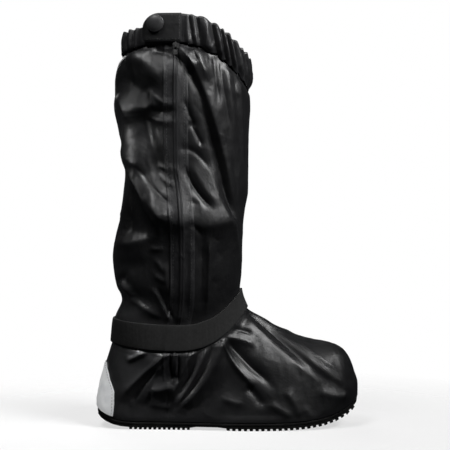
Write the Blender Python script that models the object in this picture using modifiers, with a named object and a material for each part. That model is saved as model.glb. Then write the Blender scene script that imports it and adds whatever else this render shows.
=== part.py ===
"""A tall rain overboot for the right foot: coated fabric upper on a thin lugged rubber sole, with a gathered
collar, a side zip, an ankle strap and a heel patch. Metres, +X to the toe, -Y to the outer side, +Z up."""

import math
from collections import namedtuple

import bmesh
import bpy
import numpy as np
from mathutils import Matrix, Vector

# Driving sizes
LENGTH = 0.289
HEIGHT = 0.446
BALL_WIDTH = 0.105
WALL = 0.0016
GAP = 0.0003

# The tables below are drawn in millimetres on a boot of these sizes, and are scaled to the driving sizes
MM = 0.001
DRAWN = Vector((289.0, 105.0, 446.0))
SCALE = np.array([LENGTH / DRAWN.x, BALL_WIDTH / DRAWN.y, HEIGHT / DRAWN.z]) / MM
MIDDLE = np.array([DRAWN.x / 2, -2.84, 0.0])     # drawn place of the middle of the finished boot, under its sole

# Rings of the upper from the sole to the collar: heel, side and toe points, and half the width at the ball
Ring = namedtuple("Ring", "name back_x back_z side_x side_z front_x front_z half heel_share heel_round rise far_drop")
RINGS = [
    Ring("feather", 1.2, 20, 80, 8, 288.4, 33, 50, 0.71, 38, 8.0, 0),
    Ring("toe_lip", 0.9, 28, 81, 16, 288.6, 46, 51, 0.73, 40, 6.5, 0),
    Ring("toe_front", 2.5, 38, 83, 26, 284.5, 60, 51, 0.75, 42, 5.5, 0),
    Ring("toe_brow", 4.6, 48, 85, 36, 279, 74, 51, 0.77, 45, 4.6, 0),
    Ring("toe_top", 7, 57, 87, 45, 270, 85, 50.5, 0.80, 48, 4.0, 0),
    Ring("vamp_low", 9.2, 65, 88, 53, 256, 91, 50, 0.84, 52, 3.6, 0),
    Ring("vamp", 11.2, 72, 88, 61, 235, 95, 49.5, 0.88, 56, 3.2, 0),
    Ring("vamp_high", 13.2, 79, 88, 69, 209, 103.5, 49, 0.92, 61, 2.9, 0),
    Ring("instep", 15.2, 86, 88, 77.5, 184, 118, 48.5, 0.97, 67, 2.7, 0),
    Ring("strap_low", 17.5, 93, 88.5, 86, 165, 130, 48, 1, 74, 2.5, 0),
    Ring("strap_high", 20.5, 119, 92, 114, 158, 151, 48, 1, 74, 2.5, 0),
    Ring("neck", 28, 139, 95, 134, 159.5, 166, 51, 1, 74, 2.3, 0),
    Ring("ankle", 21.7, 157, 96, 153, 160, 180, 56, 1, 74, 2.0, 0),
    Ring("bulge", 18.3, 186, 96.5, 184, 160.5, 201, 60, 1, 74, 2.0, 0),
    Ring("bulge_top", 21.7, 210, 96.5, 210, 161.5, 221, 62, 1, 74, 2.0, 0),
    Ring("shin_low", 27.2, 232, 95, 234, 163.5, 238, 62, 1, 74, 2.0, 0),
    Ring("shin", 30.3, 258, 93, 259, 167, 259, 61, 1, 74, 2.0, 0),
    Ring("waist", 32.8, 284, 90, 284, 167.2, 280, 60.5, 1, 74, 2.0, 0),
    Ring("calf_low", 29.4, 305, 89.5, 307, 167.2, 300, 61.5, 1, 74, 2.0, 0),
    Ring("calf", 24, 327, 89.5, 329, 167.6, 320, 63.5, 1, 74, 2.0, 1),
    Ring("calf_high", 20.6, 350, 89.5, 352, 168.5, 336, 65, 1, 74, 2.0, 3),
    Ring("calf_top", 20.6, 377, 89.5, 378, 169.3, 350, 65, 1, 74, 2.0, 6),
    Ring("shoulder", 24.5, 396, 89.5, 400, 169, 361, 62, 1, 74, 2.1, 10),
    Ring("cuff_seam", 31, 407, 89.5, 414, 166, 371, 57.5, 1, 74, 2.3, 13),
    Ring("collar", 33, 428, 89.5, 446, 166, 402, 57, 1, 74, 2.1, 20),
]
ROW = {ring.name: index for index, ring in enumerate(RINGS)}
CUFF_SEAM = ROW["cuff_seam"]

# Plan shape of the foot, in millimetres
SIDE_SPREAD = 60.0      # length run per radian beside the zip, the same on every ring
TOE_ROUND = 92.0
FOOT_ROUND, SHAFT_ROUND = 2.2, 2.8       # power of the rounded ends in plan, 2 for an ellipse
HEEL_RISE = 5.0         # how late the feather line turns up at the heel
SHAFT_RISE = 2.0
COLLAR_RISE = 0.55      # how soon the collar drops behind the zip
TOE_SWING = 7.0         # toe's shift to the inner side
SWING_FROM, SWING_TO = 110.0, 285.0
WAIST_FROM, WAIST_TO = 55.0, 195.0
ARCH_IN, ARCH_AT, ARCH_SPAN, ARCH_ROWS = 8.0, 125.0, 45.0, 6.0

# Main folds of the cloth on both sides, in side view: three points of a curve, half widths and height
Fold = namedtuple("Fold", "side x0 z0 x1 z1 x2 z2 width height")
NEAR, FAR = -1, 1
FOLDS = [
    Fold(NEAR, 88, 400, 116, 384, 156, 200, 6.5, -4.0),
    Fold(NEAR, 99, 402, 126, 384, 163, 200, 8.0, 4.0),
    Fold(NEAR, 50, 246, 104, 206, 156, 233, 16.0, 6.5),
    Fold(NEAR, 28, 336, 36, 268, 80, 210, 8.5, 7.0),
    Fold(NEAR, 55, 350, 56, 292, 90, 250, 9.0, -5.5),
    Fold(NEAR, 28, 278, 40, 236, 64, 208, 8.0, -5.0),
    Fold(NEAR, 18, 200, 48, 198, 80, 214, 8.0, 5.0),
    Fold(NEAR, 26, 168, 44, 150, 55, 128, 7.0, -4.0),
    Fold(NEAR, 99, 284, 104, 260, 128, 237, 6.0, -3.0),
    Fold(NEAR, 104, 410, 112, 400, 122, 374, 8.0, 3.5),
    Fold(NEAR, 30, 394, 56, 392, 76, 362, 9.5, 6.5),
    Fold(NEAR, 24, 384, 46, 376, 66, 352, 7.0, -3.5),
    Fold(NEAR, 160, 119, 205, 82, 246, 46, 11.0, 3.0),
    Fold(NEAR, 168, 126, 190, 104, 210, 87, 7.0, -2.5),
    Fold(NEAR, 136, 102, 160, 65, 180, 24, 7.0, 2.5),
    Fold(NEAR, 100, 82, 88, 55, 82, 22, 7.0, -2.0),
    Fold(FAR, 50, 380, 90, 320, 140, 262, 9.0, -3.5),
    Fold(FAR, 140, 372, 100, 300, 52, 250, 9.0, 3.0),
    Fold(FAR, 40, 232, 90, 222, 146, 236, 9.0, 4.0),
    Fold(FAR, 46, 200, 90, 190, 140, 205, 9.0, -3.0),
    Fold(FAR, 160, 119, 200, 80, 240, 44, 11.0, 2.5),
    Fold(FAR, 120, 88, 105, 60, 95, 26, 8.0, -2.0),
]
FOLD_SAMPLES = 25
FOLD_ENDS = 0.22        # share of a fold's run over which each end dies away
FOLD_SIDE_FADE = 0.4    # share of the half turn near toe and back where folds die away

# The stiff zip stands proud of the cloth as a ridge, which ends under the slider
ZIP_CREST = 3.2
ZIP_CREST_REAR, ZIP_CREST_FRONT = 14.0, 11.0
ZIP_CREST_FROM, ZIP_CREST_TO = 5.0, 22.2        # rows

# Columns round the upper and rows up it
TOE_COLUMNS = 16
HEEL_COLUMNS = 9
ZIP_HALF = 13.0         # half the width of the zip's tapes
CHAIN_HALF = 2.5
STRAP_MIDDLE = ROW["strap_low"] + 0.5

# Overlays on the upper
TAPE_THICK = 0.8 * MM
CHAIN_THICK = 1.6 * MM
SEAM_SLIT = 0.15        # half the gap between the chain and each tape, millimetres
ZIP_FOOT = ROW["vamp_low"]
ZIP_HEAD = CUFF_SEAM - 0.03
STRAP_THICK = 2.0 * MM
PATCH_THICK = 0.8 * MM
PATCH_GAP = 0.4 * MM
PATCH_COLUMNS = 18
HEEL_SAMPLES = 90
PatchRow = namedtuple("PatchRow", "row edge_x")
PATCH_ROWS = [PatchRow(0.35, 21), PatchRow(1, 21.5), PatchRow(2, 22), PatchRow(3, 22.5), PatchRow(4, 18),
              PatchRow(5, 14.5), PatchRow(5.8, 12.7)]

# Collar cuff: how far each point of its section stands off the upper, and its share of the gathers
CuffPoint = namedtuple("CuffPoint", "rise stand gather")
CUFF_SECTION = [
    CuffPoint(0.03, 0.3, 0), CuffPoint(0.97, 0.3, 0), CuffPoint(0.98, 2.2, 0.6), CuffPoint(0.67, 3.6, 1.0),
    CuffPoint(0.33, 3.6, 1.0), CuffPoint(0.03, 2.0, 0.7),
]
GATHER_DEPTH = 1.1

# Snap tab on the cuff beside the zip: its run either side of the zip, its foot and top, and its rounded rear corner
TAB_BACK, TAB_FRONT = -34.0, 6.0
TAB_LOW, TAB_HIGH = 415.6, 445.6
TAB_CORNER = 13.0
TAB_ROW = CUFF_SEAM + 0.4       # ring that the tab lies along
TAB_PLAIN = 8.0         # run over which the gathers fade in beyond the tab
TAB_COLUMNS = 12
TAB_LEVELS = 3
TAB_THICK = 1.5 * MM
TAB_STAND = 4.1         # tab's inner face off the upper, millimetres
SNAP_OFFSET = -20.5     # snap's place along the tab from the zip
SNAP_Z = 434.4
SNAP_RADIUS = 9.4 * MM
SNAP_HEIGHT = 3.2 * MM
SNAP_STEPS = 20

# Zip slider and its pull, in millimetres across, up and off the chain
SLIDER_ROW = CUFF_SEAM - 0.29
SLIDER_SIZE = (6.8, 7.0, 2.4)
CROWN_SIZE = (1.6, 5.8, 3.0)
CROWN_WINDOW = (3.6, 1.7)
PULL_BAR = 1.1
PULL_SIZE = (4.4, 10.5, 1.1)
PULL_EYE = (2.4, 4.2)
PULL_DROP = 0.95        # bar's axis above the foot of the crown's window

# Outsole: rim outside the upper, thickness of the base and height of the lugs, in millimetres
SoleEdge = namedtuple("SoleEdge", "out down")
SOLE_EDGES = [SoleEdge(0.5, 0.0), SoleEdge(0.9, 0.8), SoleEdge(0.9, 2.2), SoleEdge(0.5, 2.6), SoleEdge(0.5, 4.0)]
TREAD_STEP, TREAD_RAMP = 1.5, 5.0       # how much thicker the base is under the lugs, and the run of the step
LUG_HEIGHT = 2.2
LUG_ROOT = 1.0          # lug's reach into the base
LUG_DRAFT = 0.5
LUG_EDGE = 0.3          # lug's stand beyond the base's edge
LUG_MIN_RUN = 6.0       # shortest lug across the sole
GROOVE_HALF = 2.0       # half the groove along the middle
LugField = namedtuple("LugField", "start end pitch length")
LUG_FIELDS = [LugField(38, 104, 5.2, 3.5), LugField(143, 285, 6.2, 4.2)]

# Colours (linear), roughness and metallic
Finish = namedtuple("Finish", "colour roughness metallic")
FINISHES = {
    "coated_nylon": Finish((0.012, 0.012, 0.013), 0.45, 0.0),
    "sole_rubber": Finish((0.010, 0.010, 0.010), 0.6, 0.0),
    "elastic_casing": Finish((0.013, 0.013, 0.014), 0.5, 0.0),
    "strap_webbing": Finish((0.030, 0.030, 0.031), 0.8, 0.0),
    "reflective_film": Finish((0.30, 0.30, 0.30), 0.5, 0.2),
    "zip_cloth": Finish((0.011, 0.011, 0.012), 0.7, 0.0),
    "zip_coil": Finish((0.014, 0.014, 0.015), 0.5, 0.0),
    "zip_metal": Finish((0.05, 0.05, 0.05), 0.35, 0.6),
    "snap_paint": Finish((0.035, 0.035, 0.037), 0.5, 0.0),
}


def clear_scene():
    for thing in list(bpy.data.objects):
        bpy.data.objects.remove(thing, do_unlink=True)


def collection(name):
    made = bpy.data.collections.new(name)
    bpy.context.scene.collection.children.link(made)
    return made


def material(name):
    finish = FINISHES[name]
    made = bpy.data.materials.get(name) or bpy.data.materials.new(name)
    made.use_nodes = True
    shader = made.node_tree.nodes["Principled BSDF"]
    shader.inputs["Base Color"].default_value = (*finish.colour, 1.0)
    shader.inputs["Roughness"].default_value = finish.roughness
    shader.inputs["Metallic"].default_value = finish.metallic
    made.diffuse_color = (*finish.colour, 1.0)
    return made


def smooth_step(value):
    value = np.clip(value, 0.0, 1.0)
    return value * value * (3.0 - 2.0 * value)


def ring_value(column, rows):
    """A ring column at fractional rows, joined by monotone cubic pieces."""
    knots = np.array([getattr(ring, column) for ring in RINGS], float)
    step = np.diff(knots)
    slope = np.zeros(len(knots))
    product = step[:-1] * step[1:]
    total = np.where(product > 0, step[:-1] + step[1:], 1.0)
    slope[1:-1] = np.where(product > 0, 2.0 * product / total, 0.0)
    slope[0], slope[-1] = step[0], step[-1]
    index = np.clip(np.floor(rows).astype(int), 0, len(knots) - 2)
    f = rows - index
    start = (1 + 2 * f) * (1 - f) ** 2 * knots[index] + f * (1 - f) ** 2 * slope[index]
    return start + f * f * (3 - 2 * f) * knots[index + 1] + f * f * (f - 1) * slope[index + 1]


def rounded_end(distance, length, power):
    """Half width near a rounded end, from 0 at the tip to 1 where the end has run its length."""
    reach = np.clip(1.0 - distance / length, 0.0, 1.0)
    return (1.0 - reach**power) ** (1.0 / power)


def smooth_upper(turns, rows):
    """Points of the upper without folds, millimetres. Turn 0 is the toe, minus a quarter the outer side."""
    ring = {column: ring_value(column, rows) for column in Ring._fields[1:]}
    ahead = np.cos(turns)
    run = np.where(ahead > 0, ring["front_x"] - ring["side_x"], ring["side_x"] - ring["back_x"])
    x = ring["side_x"] + SIDE_SPREAD * ahead + (run - SIDE_SPREAD) * ahead**3
    share = np.clip(np.abs(x - ring["side_x"]) / run, 0.0, 1.0)
    heel_rise = np.interp(rows, (0, ROW["instep"], CUFF_SEAM, ROW["collar"]),
                          (HEEL_RISE, SHAFT_RISE, SHAFT_RISE, COLLAR_RISE))
    inner = np.clip(np.sin(turns), 0.0, 1.0)
    side_z = ring["side_z"] - ring["far_drop"] * inner**2
    front = side_z + (ring["front_z"] - side_z) * share ** ring["rise"]
    back = side_z + (ring["back_z"] - side_z) * share**heel_rise
    z = np.where(ahead > 0, front, back)
    blend = smooth_step((x - WAIST_FROM) / (WAIST_TO - WAIST_FROM))
    half = ring["half"] * (ring["heel_share"] + (1.0 - ring["heel_share"]) * blend)
    middle = 0.5 * (ring["front_x"] - ring["back_x"])
    power = np.interp(rows, (ROW["instep"], ROW["ankle"]), (FOOT_ROUND, SHAFT_ROUND))
    half = half * rounded_end(x - ring["back_x"], np.minimum(ring["heel_round"], middle), power)
    half = half * rounded_end(ring["front_x"] - x, np.minimum(TOE_ROUND, middle), power)
    arch = ARCH_IN * np.exp(-(((x - ARCH_AT) / ARCH_SPAN) ** 2)) * np.clip(1.0 - rows / ARCH_ROWS, 0.0, 1.0)
    half = np.where(np.sin(turns) > 0, half - arch, half)
    swing = TOE_SWING * smooth_step((x - SWING_FROM) / (SWING_TO - SWING_FROM))
    y = swing + np.sign(np.sin(turns)) * np.where(np.abs(np.sin(turns)) < 1e-9, 0.0, half)
    return np.stack([x, y, z], axis=-1)


def to_world(drawn):
    return (np.asarray(drawn, float) - MIDDLE) * SCALE * MM


def normals(points):
    """Outward unit normals of a closed grid of rows by columns."""
    around = np.roll(points, -1, axis=1) - np.roll(points, 1, axis=1)
    up = np.gradient(points, axis=0)
    cross = np.cross(up, around)
    return cross / np.linalg.norm(cross, axis=-1, keepdims=True)


def zip_crest(points, turns, rows):
    """Height of the ridge along the zip, millimetres."""
    offset = points[..., 0] - ring_value("side_x", rows)
    run = np.where(offset < 0, ZIP_CREST_REAR, ZIP_CREST_FRONT)
    ends = smooth_step((rows - ZIP_CREST_FROM) / 3.0) * smooth_step((ZIP_CREST_TO - rows) / 1.2)
    return ZIP_CREST * np.exp(-np.abs(offset) / run) * smooth_step(-2.0 * np.sin(turns)) * ends


def fold_height(points, turns, rows):
    """Height of the folds at points of the upper, millimetres."""
    total = np.zeros(points.shape[:-1])
    side_sine = np.sin(turns)
    for fold in FOLDS:
        s = np.linspace(0.0, 1.0, FOLD_SAMPLES)
        curve_x = (1 - s) ** 2 * fold.x0 + 2 * s * (1 - s) * fold.x1 + s * s * fold.x2
        curve_z = (1 - s) ** 2 * fold.z0 + 2 * s * (1 - s) * fold.z1 + s * s * fold.z2
        away = np.hypot(points[..., 0, None] - curve_x, points[..., 2, None] - curve_z)
        nearest = np.argmin(away, axis=-1)
        distance = np.min(away, axis=-1)
        ends = np.minimum(s, 1.0 - s) / FOLD_ENDS
        fade = smooth_step(0.3 + 0.7 * ends)[nearest]
        facing = smooth_step(fold.side * side_sine / FOLD_SIDE_FADE)
        total += fold.height * np.exp(-((distance / fold.width) ** 2)) * fade * facing
    total += zip_crest(points, turns, rows)
    clear_of_sole = smooth_step(rows / 1.5)
    clear_of_strap = smooth_step(np.abs(rows - STRAP_MIDDLE) - 0.5)
    clear_of_cuff = smooth_step(CUFF_SEAM - rows)
    return total * clear_of_sole * clear_of_strap * clear_of_cuff


def column_turns():
    """Turns of the upper's columns, toe to heel along the outer side and back along the inner side."""
    edge = math.asin(ZIP_HALF / SIDE_SPREAD)
    chain = math.asin(CHAIN_HALF / SIDE_SPREAD)
    quarter = math.pi / 2
    toe = np.linspace(0.0, quarter - edge, TOE_COLUMNS + 1)
    heel = np.linspace(quarter + edge, math.pi, HEEL_COLUMNS + 1)
    half = np.concatenate([toe, [quarter - chain, quarter, quarter + chain], heel])
    return np.concatenate([-half, half[-2:0:-1]])


def row_list():
    return np.array(sorted([*range(len(RINGS)), STRAP_MIDDLE]), float)


class Upper:
    """The upper's faceted outer face, which every overlay is taken from."""

    def __init__(self):
        self.turns = column_turns()
        self.rows = row_list()
        turns, rows = np.meshgrid(self.turns, self.rows)
        smooth = smooth_upper(turns, rows)
        folds = fold_height(smooth, turns, rows)
        drawn = smooth + normals(smooth) * folds[..., None]
        self.points = to_world(drawn)
        self.normals = normals(self.points)
        self.zip_column = int(np.argmin(np.abs(self.turns + math.pi / 2)))

    def row_index(self, row):
        return float(np.interp(row, self.rows, np.arange(len(self.rows))))

    def at(self, column, row, stand=0.0):
        """Point on the faceted face at a fractional column index and a row, moved out by stand."""
        place = self.row_index(row)
        low = min(int(math.floor(place)), len(self.rows) - 2)
        first = int(math.floor(column))
        f, g = place - low, column - first
        count = len(self.turns)
        corners = [(low, first % count, (1 - f) * (1 - g)), (low, (first + 1) % count, (1 - f) * g),
                   (low + 1, first % count, f * (1 - g)), (low + 1, (first + 1) % count, f * g)]
        point = sum(weight * self.points[r, c] for r, c, weight in corners)
        normal = sum(weight * self.normals[r, c] for r, c, weight in corners)
        return point + normal / np.linalg.norm(normal) * stand

    def column_at(self, offset, row):
        """Column index of the outer side where x runs a given number of millimetres from the zip's middle."""
        columns = np.arange(len(self.turns) // 2 + 1)
        x = np.array([self.at(column, row)[0] for column in columns])
        zip_x = self.at(self.zip_column, row)[0]
        return float(np.interp(-(zip_x + offset * MM * SCALE[0]), -x, columns))

    def side_frame(self, column, row, stand):
        """Matrix with X along the ring, Y up the boot and Z out of the face."""
        origin = Vector(self.at(column, row, stand))
        up = Vector(self.at(column, row + 0.2)) - Vector(self.at(column, row - 0.2))
        along = Vector(self.at(column - 0.5, row)) - Vector(self.at(column + 0.5, row))
        out = along.cross(up).normalized()
        along = up.cross(out).normalized()
        up = out.cross(along)
        return Matrix.Translation(origin) @ Matrix((along, up, out)).transposed().to_4x4()


def mesh_object(name, vertices, faces, finish, home, smooth=True):
    mesh = bpy.data.meshes.new(name)
    mesh.from_pydata([tuple(v) for v in vertices], [], faces)
    made = bpy.data.objects.new(name, mesh)
    mesh.materials.append(material(finish))
    home.objects.link(made)
    work = bmesh.new()
    work.from_mesh(mesh)
    bmesh.ops.recalc_face_normals(work, faces=work.faces)
    for face in work.faces:
        face.smooth = smooth
    work.to_mesh(mesh)
    work.free()
    return made


def grid_faces(rows, columns, closed):
    faces = []
    for r in range(rows - 1):
        for c in range(columns if closed else columns - 1):
            after = (c + 1) % columns
            faces.append((r * columns + c, r * columns + after, (r + 1) * columns + after, (r + 1) * columns + c))
    return faces


def shell(name, grid, thickness, offset, finish, home, closed=False):
    """A sheet of rows by columns given a wall, inward (-1) or outward (1)."""
    rows, columns = grid.shape[:2]
    mesh = bpy.data.meshes.new(name)
    faces = [face[::-1] for face in grid_faces(rows, columns, closed)]
    mesh.from_pydata([tuple(v) for v in grid.reshape(-1, 3)], [], faces)
    made = bpy.data.objects.new(name, mesh)
    mesh.materials.append(material(finish))
    for face in mesh.polygons:
        face.use_smooth = True
    home.objects.link(made)
    wall = made.modifiers.new("wall", "SOLIDIFY")
    wall.thickness = thickness
    wall.offset = offset
    return made


def build_upper(upper, home):
    return shell("upper", upper.points, WALL, -1.0, "coated_nylon", home, closed=True)


def build_strap(upper, home):
    """Webbing band round the ankle, raised where it crosses the zip."""
    rows = (float(ROW["strap_low"]), STRAP_MIDDLE, float(ROW["strap_high"]))
    stand = np.full(len(upper.turns), GAP)
    middle = upper.zip_column
    stand[middle - 2: middle + 3] = GAP + TAPE_THICK + GAP
    stand[middle - 1: middle + 2] = GAP + CHAIN_THICK + GAP
    grid = [[upper.at(c, row, stand[c]) for c in range(len(upper.turns))] for row in rows]
    return shell("ankle_strap", np.array(grid), STRAP_THICK, 1.0, "strap_webbing", home, closed=True)


def build_heel_patch(home):
    """Overlay round the heel, wide at the sole and narrow at the top."""
    side_turns = np.linspace(math.pi / 2, math.pi, HEEL_SAMPLES)
    turns, rows = [], []
    for patch in PATCH_ROWS:
        x = smooth_upper(side_turns, np.full(HEEL_SAMPLES, float(patch.row)))[:, 0]
        edge = np.interp(-patch.edge_x, -x, side_turns)
        turns.append(np.linspace(-edge, edge - 2 * math.pi, PATCH_COLUMNS + 1))
        rows.append(np.full(PATCH_COLUMNS + 1, float(patch.row)))
    grid = to_world(smooth_upper(np.array(turns), np.array(rows)))
    out = np.cross(np.gradient(grid, axis=0), np.gradient(grid, axis=1))
    out /= np.linalg.norm(out, axis=-1, keepdims=True)
    return shell("heel_patch", grid + out * PATCH_GAP, PATCH_THICK, 1.0, "reflective_film", home)


def zip_strip(upper, name, offsets, thickness, finish, home):
    rows = [row for row in upper.rows if ZIP_FOOT <= row < CUFF_SEAM - 0.5] + [ZIP_HEAD]
    grid = [[upper.at(upper.column_at(offset, row), row, GAP) for offset in offsets] for row in rows]
    return shell(name, np.array(grid), thickness, 1.0, finish, home)


def build_zip(upper, home):
    inner = CHAIN_HALF + SEAM_SLIT
    chain = CHAIN_HALF - SEAM_SLIT
    zip_strip(upper, "zip_tape_rear", (-inner, -ZIP_HALF), TAPE_THICK, "zip_cloth", home)
    zip_strip(upper, "zip_tape_front", (ZIP_HALF, inner), TAPE_THICK, "zip_cloth", home)
    zip_strip(upper, "zip_chain", (chain, 0.0, -chain), CHAIN_THICK, "zip_coil", home)


def gather_share(upper, column):
    """1 where the cuff is gathered, 0 beside the zip where the snap tab lies flat."""
    row = CUFF_SEAM + 0.5
    if column > len(upper.turns) / 2:
        return 1.0
    offset = (upper.at(column, row)[0] - upper.at(upper.zip_column, row)[0]) / MM
    beyond = max(TAB_BACK - offset, offset - TAB_FRONT)
    return float(smooth_step((beyond - 2.0) / TAB_PLAIN))


def build_cuff(upper, home):
    """Elastic casing round the upper's top edge, its gathers one to every second half column."""
    count = len(upper.turns) * 2
    sections = []
    for step in range(count):
        column = step / 2
        gather = GATHER_DEPTH * (1 if step % 2 else -1) * gather_share(upper, column)
        sections.append([upper.at(column, CUFF_SEAM + p.rise, (p.stand + gather * p.gather) * MM)
                         for p in CUFF_SECTION])
    size = len(CUFF_SECTION)
    faces = []
    for c in range(count):
        for p in range(size):
            after, q = (c + 1) % count, (p + 1) % size
            faces.append((c * size + p, after * size + p, after * size + q, c * size + q))
    return mesh_object("collar_cuff", np.array(sections).reshape(-1, 3), faces, "elastic_casing", home)


def tab_point(upper, offset, z, stand):
    """Point of an upright sheet along the tab's ring, at a run from the zip and a height."""
    point = upper.at(upper.column_at(offset, TAB_ROW), TAB_ROW, stand)
    return np.array([point[0], point[1], to_world((0, 0, z))[2]])


def build_snap(upper, home):
    """Tab over the zip's top, lying on the cuff, and its round snap cap."""
    offsets = np.linspace(TAB_FRONT, TAB_BACK, TAB_COLUMNS + 1)
    short = np.clip(TAB_CORNER - (offsets - TAB_BACK), 0.0, TAB_CORNER)
    tops = TAB_HIGH - TAB_CORNER + np.sqrt(TAB_CORNER**2 - short**2)
    grid = [[tab_point(upper, offset, TAB_LOW + (top - TAB_LOW) * level / TAB_LEVELS, TAB_STAND * MM)
             for offset, top in zip(offsets, tops)] for level in range(TAB_LEVELS + 1)]
    shell("snap_tab", np.array(grid), TAB_THICK, 1.0, "elastic_casing", home)
    stand = TAB_STAND * MM + TAB_THICK + GAP
    along = Vector(tab_point(upper, SNAP_OFFSET + 1.0, SNAP_Z, stand))
    along = (along - Vector(tab_point(upper, SNAP_OFFSET - 1.0, SNAP_Z, stand))).normalized()
    up = Vector((0, 0, 1))
    turned = Matrix((along, up, along.cross(up))).transposed().to_4x4()
    place = Matrix.Translation(tab_point(upper, SNAP_OFFSET, SNAP_Z, stand)) @ turned
    Turned = namedtuple("Turned", "radius height")
    profile = [Turned(0, 0), Turned(0.96, 0), Turned(1, 0.12), Turned(1, 0.4), Turned(0.88, 0.72), Turned(0.6, 0.92),
               Turned(0, 1)]
    mesh = bpy.data.meshes.new("snap_cap")
    vertices = [(p.radius * SNAP_RADIUS, 0.0, p.height * SNAP_HEIGHT) for p in profile]
    mesh.from_pydata(vertices, [(i, i + 1) for i in range(len(vertices) - 1)], [])
    cap = bpy.data.objects.new("snap_cap", mesh)
    mesh.materials.append(material("snap_paint"))
    home.objects.link(cap)
    turn = cap.modifiers.new("turned", "SCREW")
    turn.steps = turn.render_steps = SNAP_STEPS
    turn.use_merge_vertices = True
    turn.merge_threshold = 0.00001
    turn.use_normal_calculate = True
    cap.matrix_world = place
    return cap


def block(name, size, centre, finish, home):
    """A box of a size about a centre, both in millimetres."""
    work = bmesh.new()
    bmesh.ops.create_cube(work, size=1.0)
    for vertex in work.verts:
        vertex.co = Vector((vertex.co[i] * size[i] + centre[i]) * MM for i in range(3))
    mesh = bpy.data.meshes.new(name)
    work.to_mesh(mesh)
    work.free()
    made = bpy.data.objects.new(name, mesh)
    mesh.materials.append(material(finish))
    home.objects.link(made)
    return made


def combine(target, cutter, operation):
    change = target.modifiers.new(cutter.name, "BOOLEAN")
    change.object = cutter
    change.operation = operation
    change.solver = "EXACT"
    cutter.display_type = "WIRE"
    cutter.hide_render = True


def build_slider(upper, home, cutters):
    """Slider on the chain with a crown whose window the pull's bar goes through, and the hinged pull."""
    place = upper.side_frame(upper.zip_column, SLIDER_ROW, GAP + CHAIN_THICK + GAP)
    body_top = SLIDER_SIZE[2]
    slider = block("zip_slider", SLIDER_SIZE, (0, 0, body_top / 2), "zip_metal", home)
    edges = slider.modifiers.new("edges", "BEVEL")
    edges.width = 0.6 * MM
    edges.segments = 1
    crown_middle = body_top + CROWN_SIZE[2] / 2
    crown = block("crown", (CROWN_SIZE[0], CROWN_SIZE[1], CROWN_SIZE[2] + 1.0), (0, 0, crown_middle - 0.5),
                  "zip_metal", cutters)
    window_middle = body_top + CROWN_WINDOW[1] / 2
    window = block("crown_window", (CROWN_SIZE[0] * 2, CROWN_WINDOW[0], CROWN_WINDOW[1]), (0, 0, window_middle),
                   "zip_metal", cutters)
    combine(slider, crown, "UNION")
    combine(slider, window, "DIFFERENCE")
    axis_up = -CROWN_WINDOW[0] / 2 + PULL_DROP
    hinge = place @ Matrix.Translation(Vector((0, axis_up, window_middle)) * MM)
    pull_centre = (0, PULL_BAR / 2 - PULL_SIZE[1] / 2, 0)
    pull = block("zip_pull", PULL_SIZE, pull_centre, "zip_metal", home)
    eye_centre = (0, -PULL_BAR / 2 - PULL_EYE[1] / 2, 0)
    eye = block("pull_eye", (PULL_EYE[0], PULL_EYE[1], PULL_SIZE[2] * 2), eye_centre, "zip_metal", cutters)
    combine(pull, eye, "DIFFERENCE")
    for thing in (slider, crown, window):
        thing.matrix_world = place
    for thing in (pull, eye):
        thing.matrix_world = hinge
    return slider, pull


def feather(turns, out, down):
    """The upper's bottom edge moved outward and down, for the sole's edge, millimetres."""
    edge = smooth_upper(turns, np.zeros(len(turns)))
    ahead = np.roll(edge, -1, axis=0) - np.roll(edge, 1, axis=0)
    outward = np.stack([ahead[:, 1], -ahead[:, 0]], axis=-1)
    outward /= np.linalg.norm(outward, axis=-1, keepdims=True)
    moved = edge.copy()
    moved[:, :2] -= outward * out
    moved[:, 2] -= GAP / MM + down
    return moved


def sole_bottom(turns):
    """The base's lower edge, a step lower under the heel and the ball than at the waist between the lugs."""
    edge = feather(turns, SOLE_EDGES[-1].out, SOLE_EDGES[-1].down)
    heel, ball = LUG_FIELDS
    waist = smooth_step((edge[:, 0] - heel.end) / TREAD_RAMP) * smooth_step((ball.start - edge[:, 0]) / TREAD_RAMP)
    edge[:, 2] -= TREAD_STEP * (1.0 - waist)
    return edge


def sole_base(turns, home):
    """Cupped base: loops down its edge, closed above and below by strips from side to side."""
    count = len(turns)
    loops = [feather(turns, edge.out, edge.down) for edge in SOLE_EDGES[:-1]] + [sole_bottom(turns)]
    vertices = to_world(np.concatenate(loops))
    faces = grid_faces(len(loops), count, True)
    for first in (0, (len(loops) - 1) * count):
        for c in range(count // 2):
            ring = [first + c, first + c + 1, first + (count - c - 1) % count, first + (count - c) % count]
            faces.append(tuple(dict.fromkeys(ring)))
    return mesh_object("outsole", vertices, faces, "sole_rubber", home, smooth=False)


def lug(work, bottom, x0, x1, side):
    """One lug from the middle groove to the sole's edge, standing square on the base's curve."""
    corners = []
    for x, draft in ((x0, LUG_DRAFT), (x1, -LUG_DRAFT)):
        y_edge = np.interp(x, bottom[side]["x"], bottom[side]["y"]) + side * LUG_EDGE
        z = np.interp(x, bottom[side]["x"], bottom[side]["z"])
        slope = np.interp(x, bottom[side]["x"], bottom[side]["slope"])
        down = np.array([slope, 0.0, -1.0]) / math.hypot(slope, 1.0)
        for y, inward in ((side * GROOVE_HALF, side), (y_edge, -side)):
            root = np.array([x, y, z]) - down * LUG_ROOT
            tip = np.array([x + draft, y + inward * LUG_DRAFT, z]) + down * LUG_HEIGHT
            corners.append((root, tip))
    made = bmesh.ops.create_cube(work, size=1.0)["verts"]
    for vertex in made:
        back = vertex.co.x < 0
        inner = vertex.co.y < 0
        root, tip = corners[(0 if back else 2) + (0 if inner else 1)]
        vertex.co = Vector(to_world(tip if vertex.co.z < 0 else root))


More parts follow.
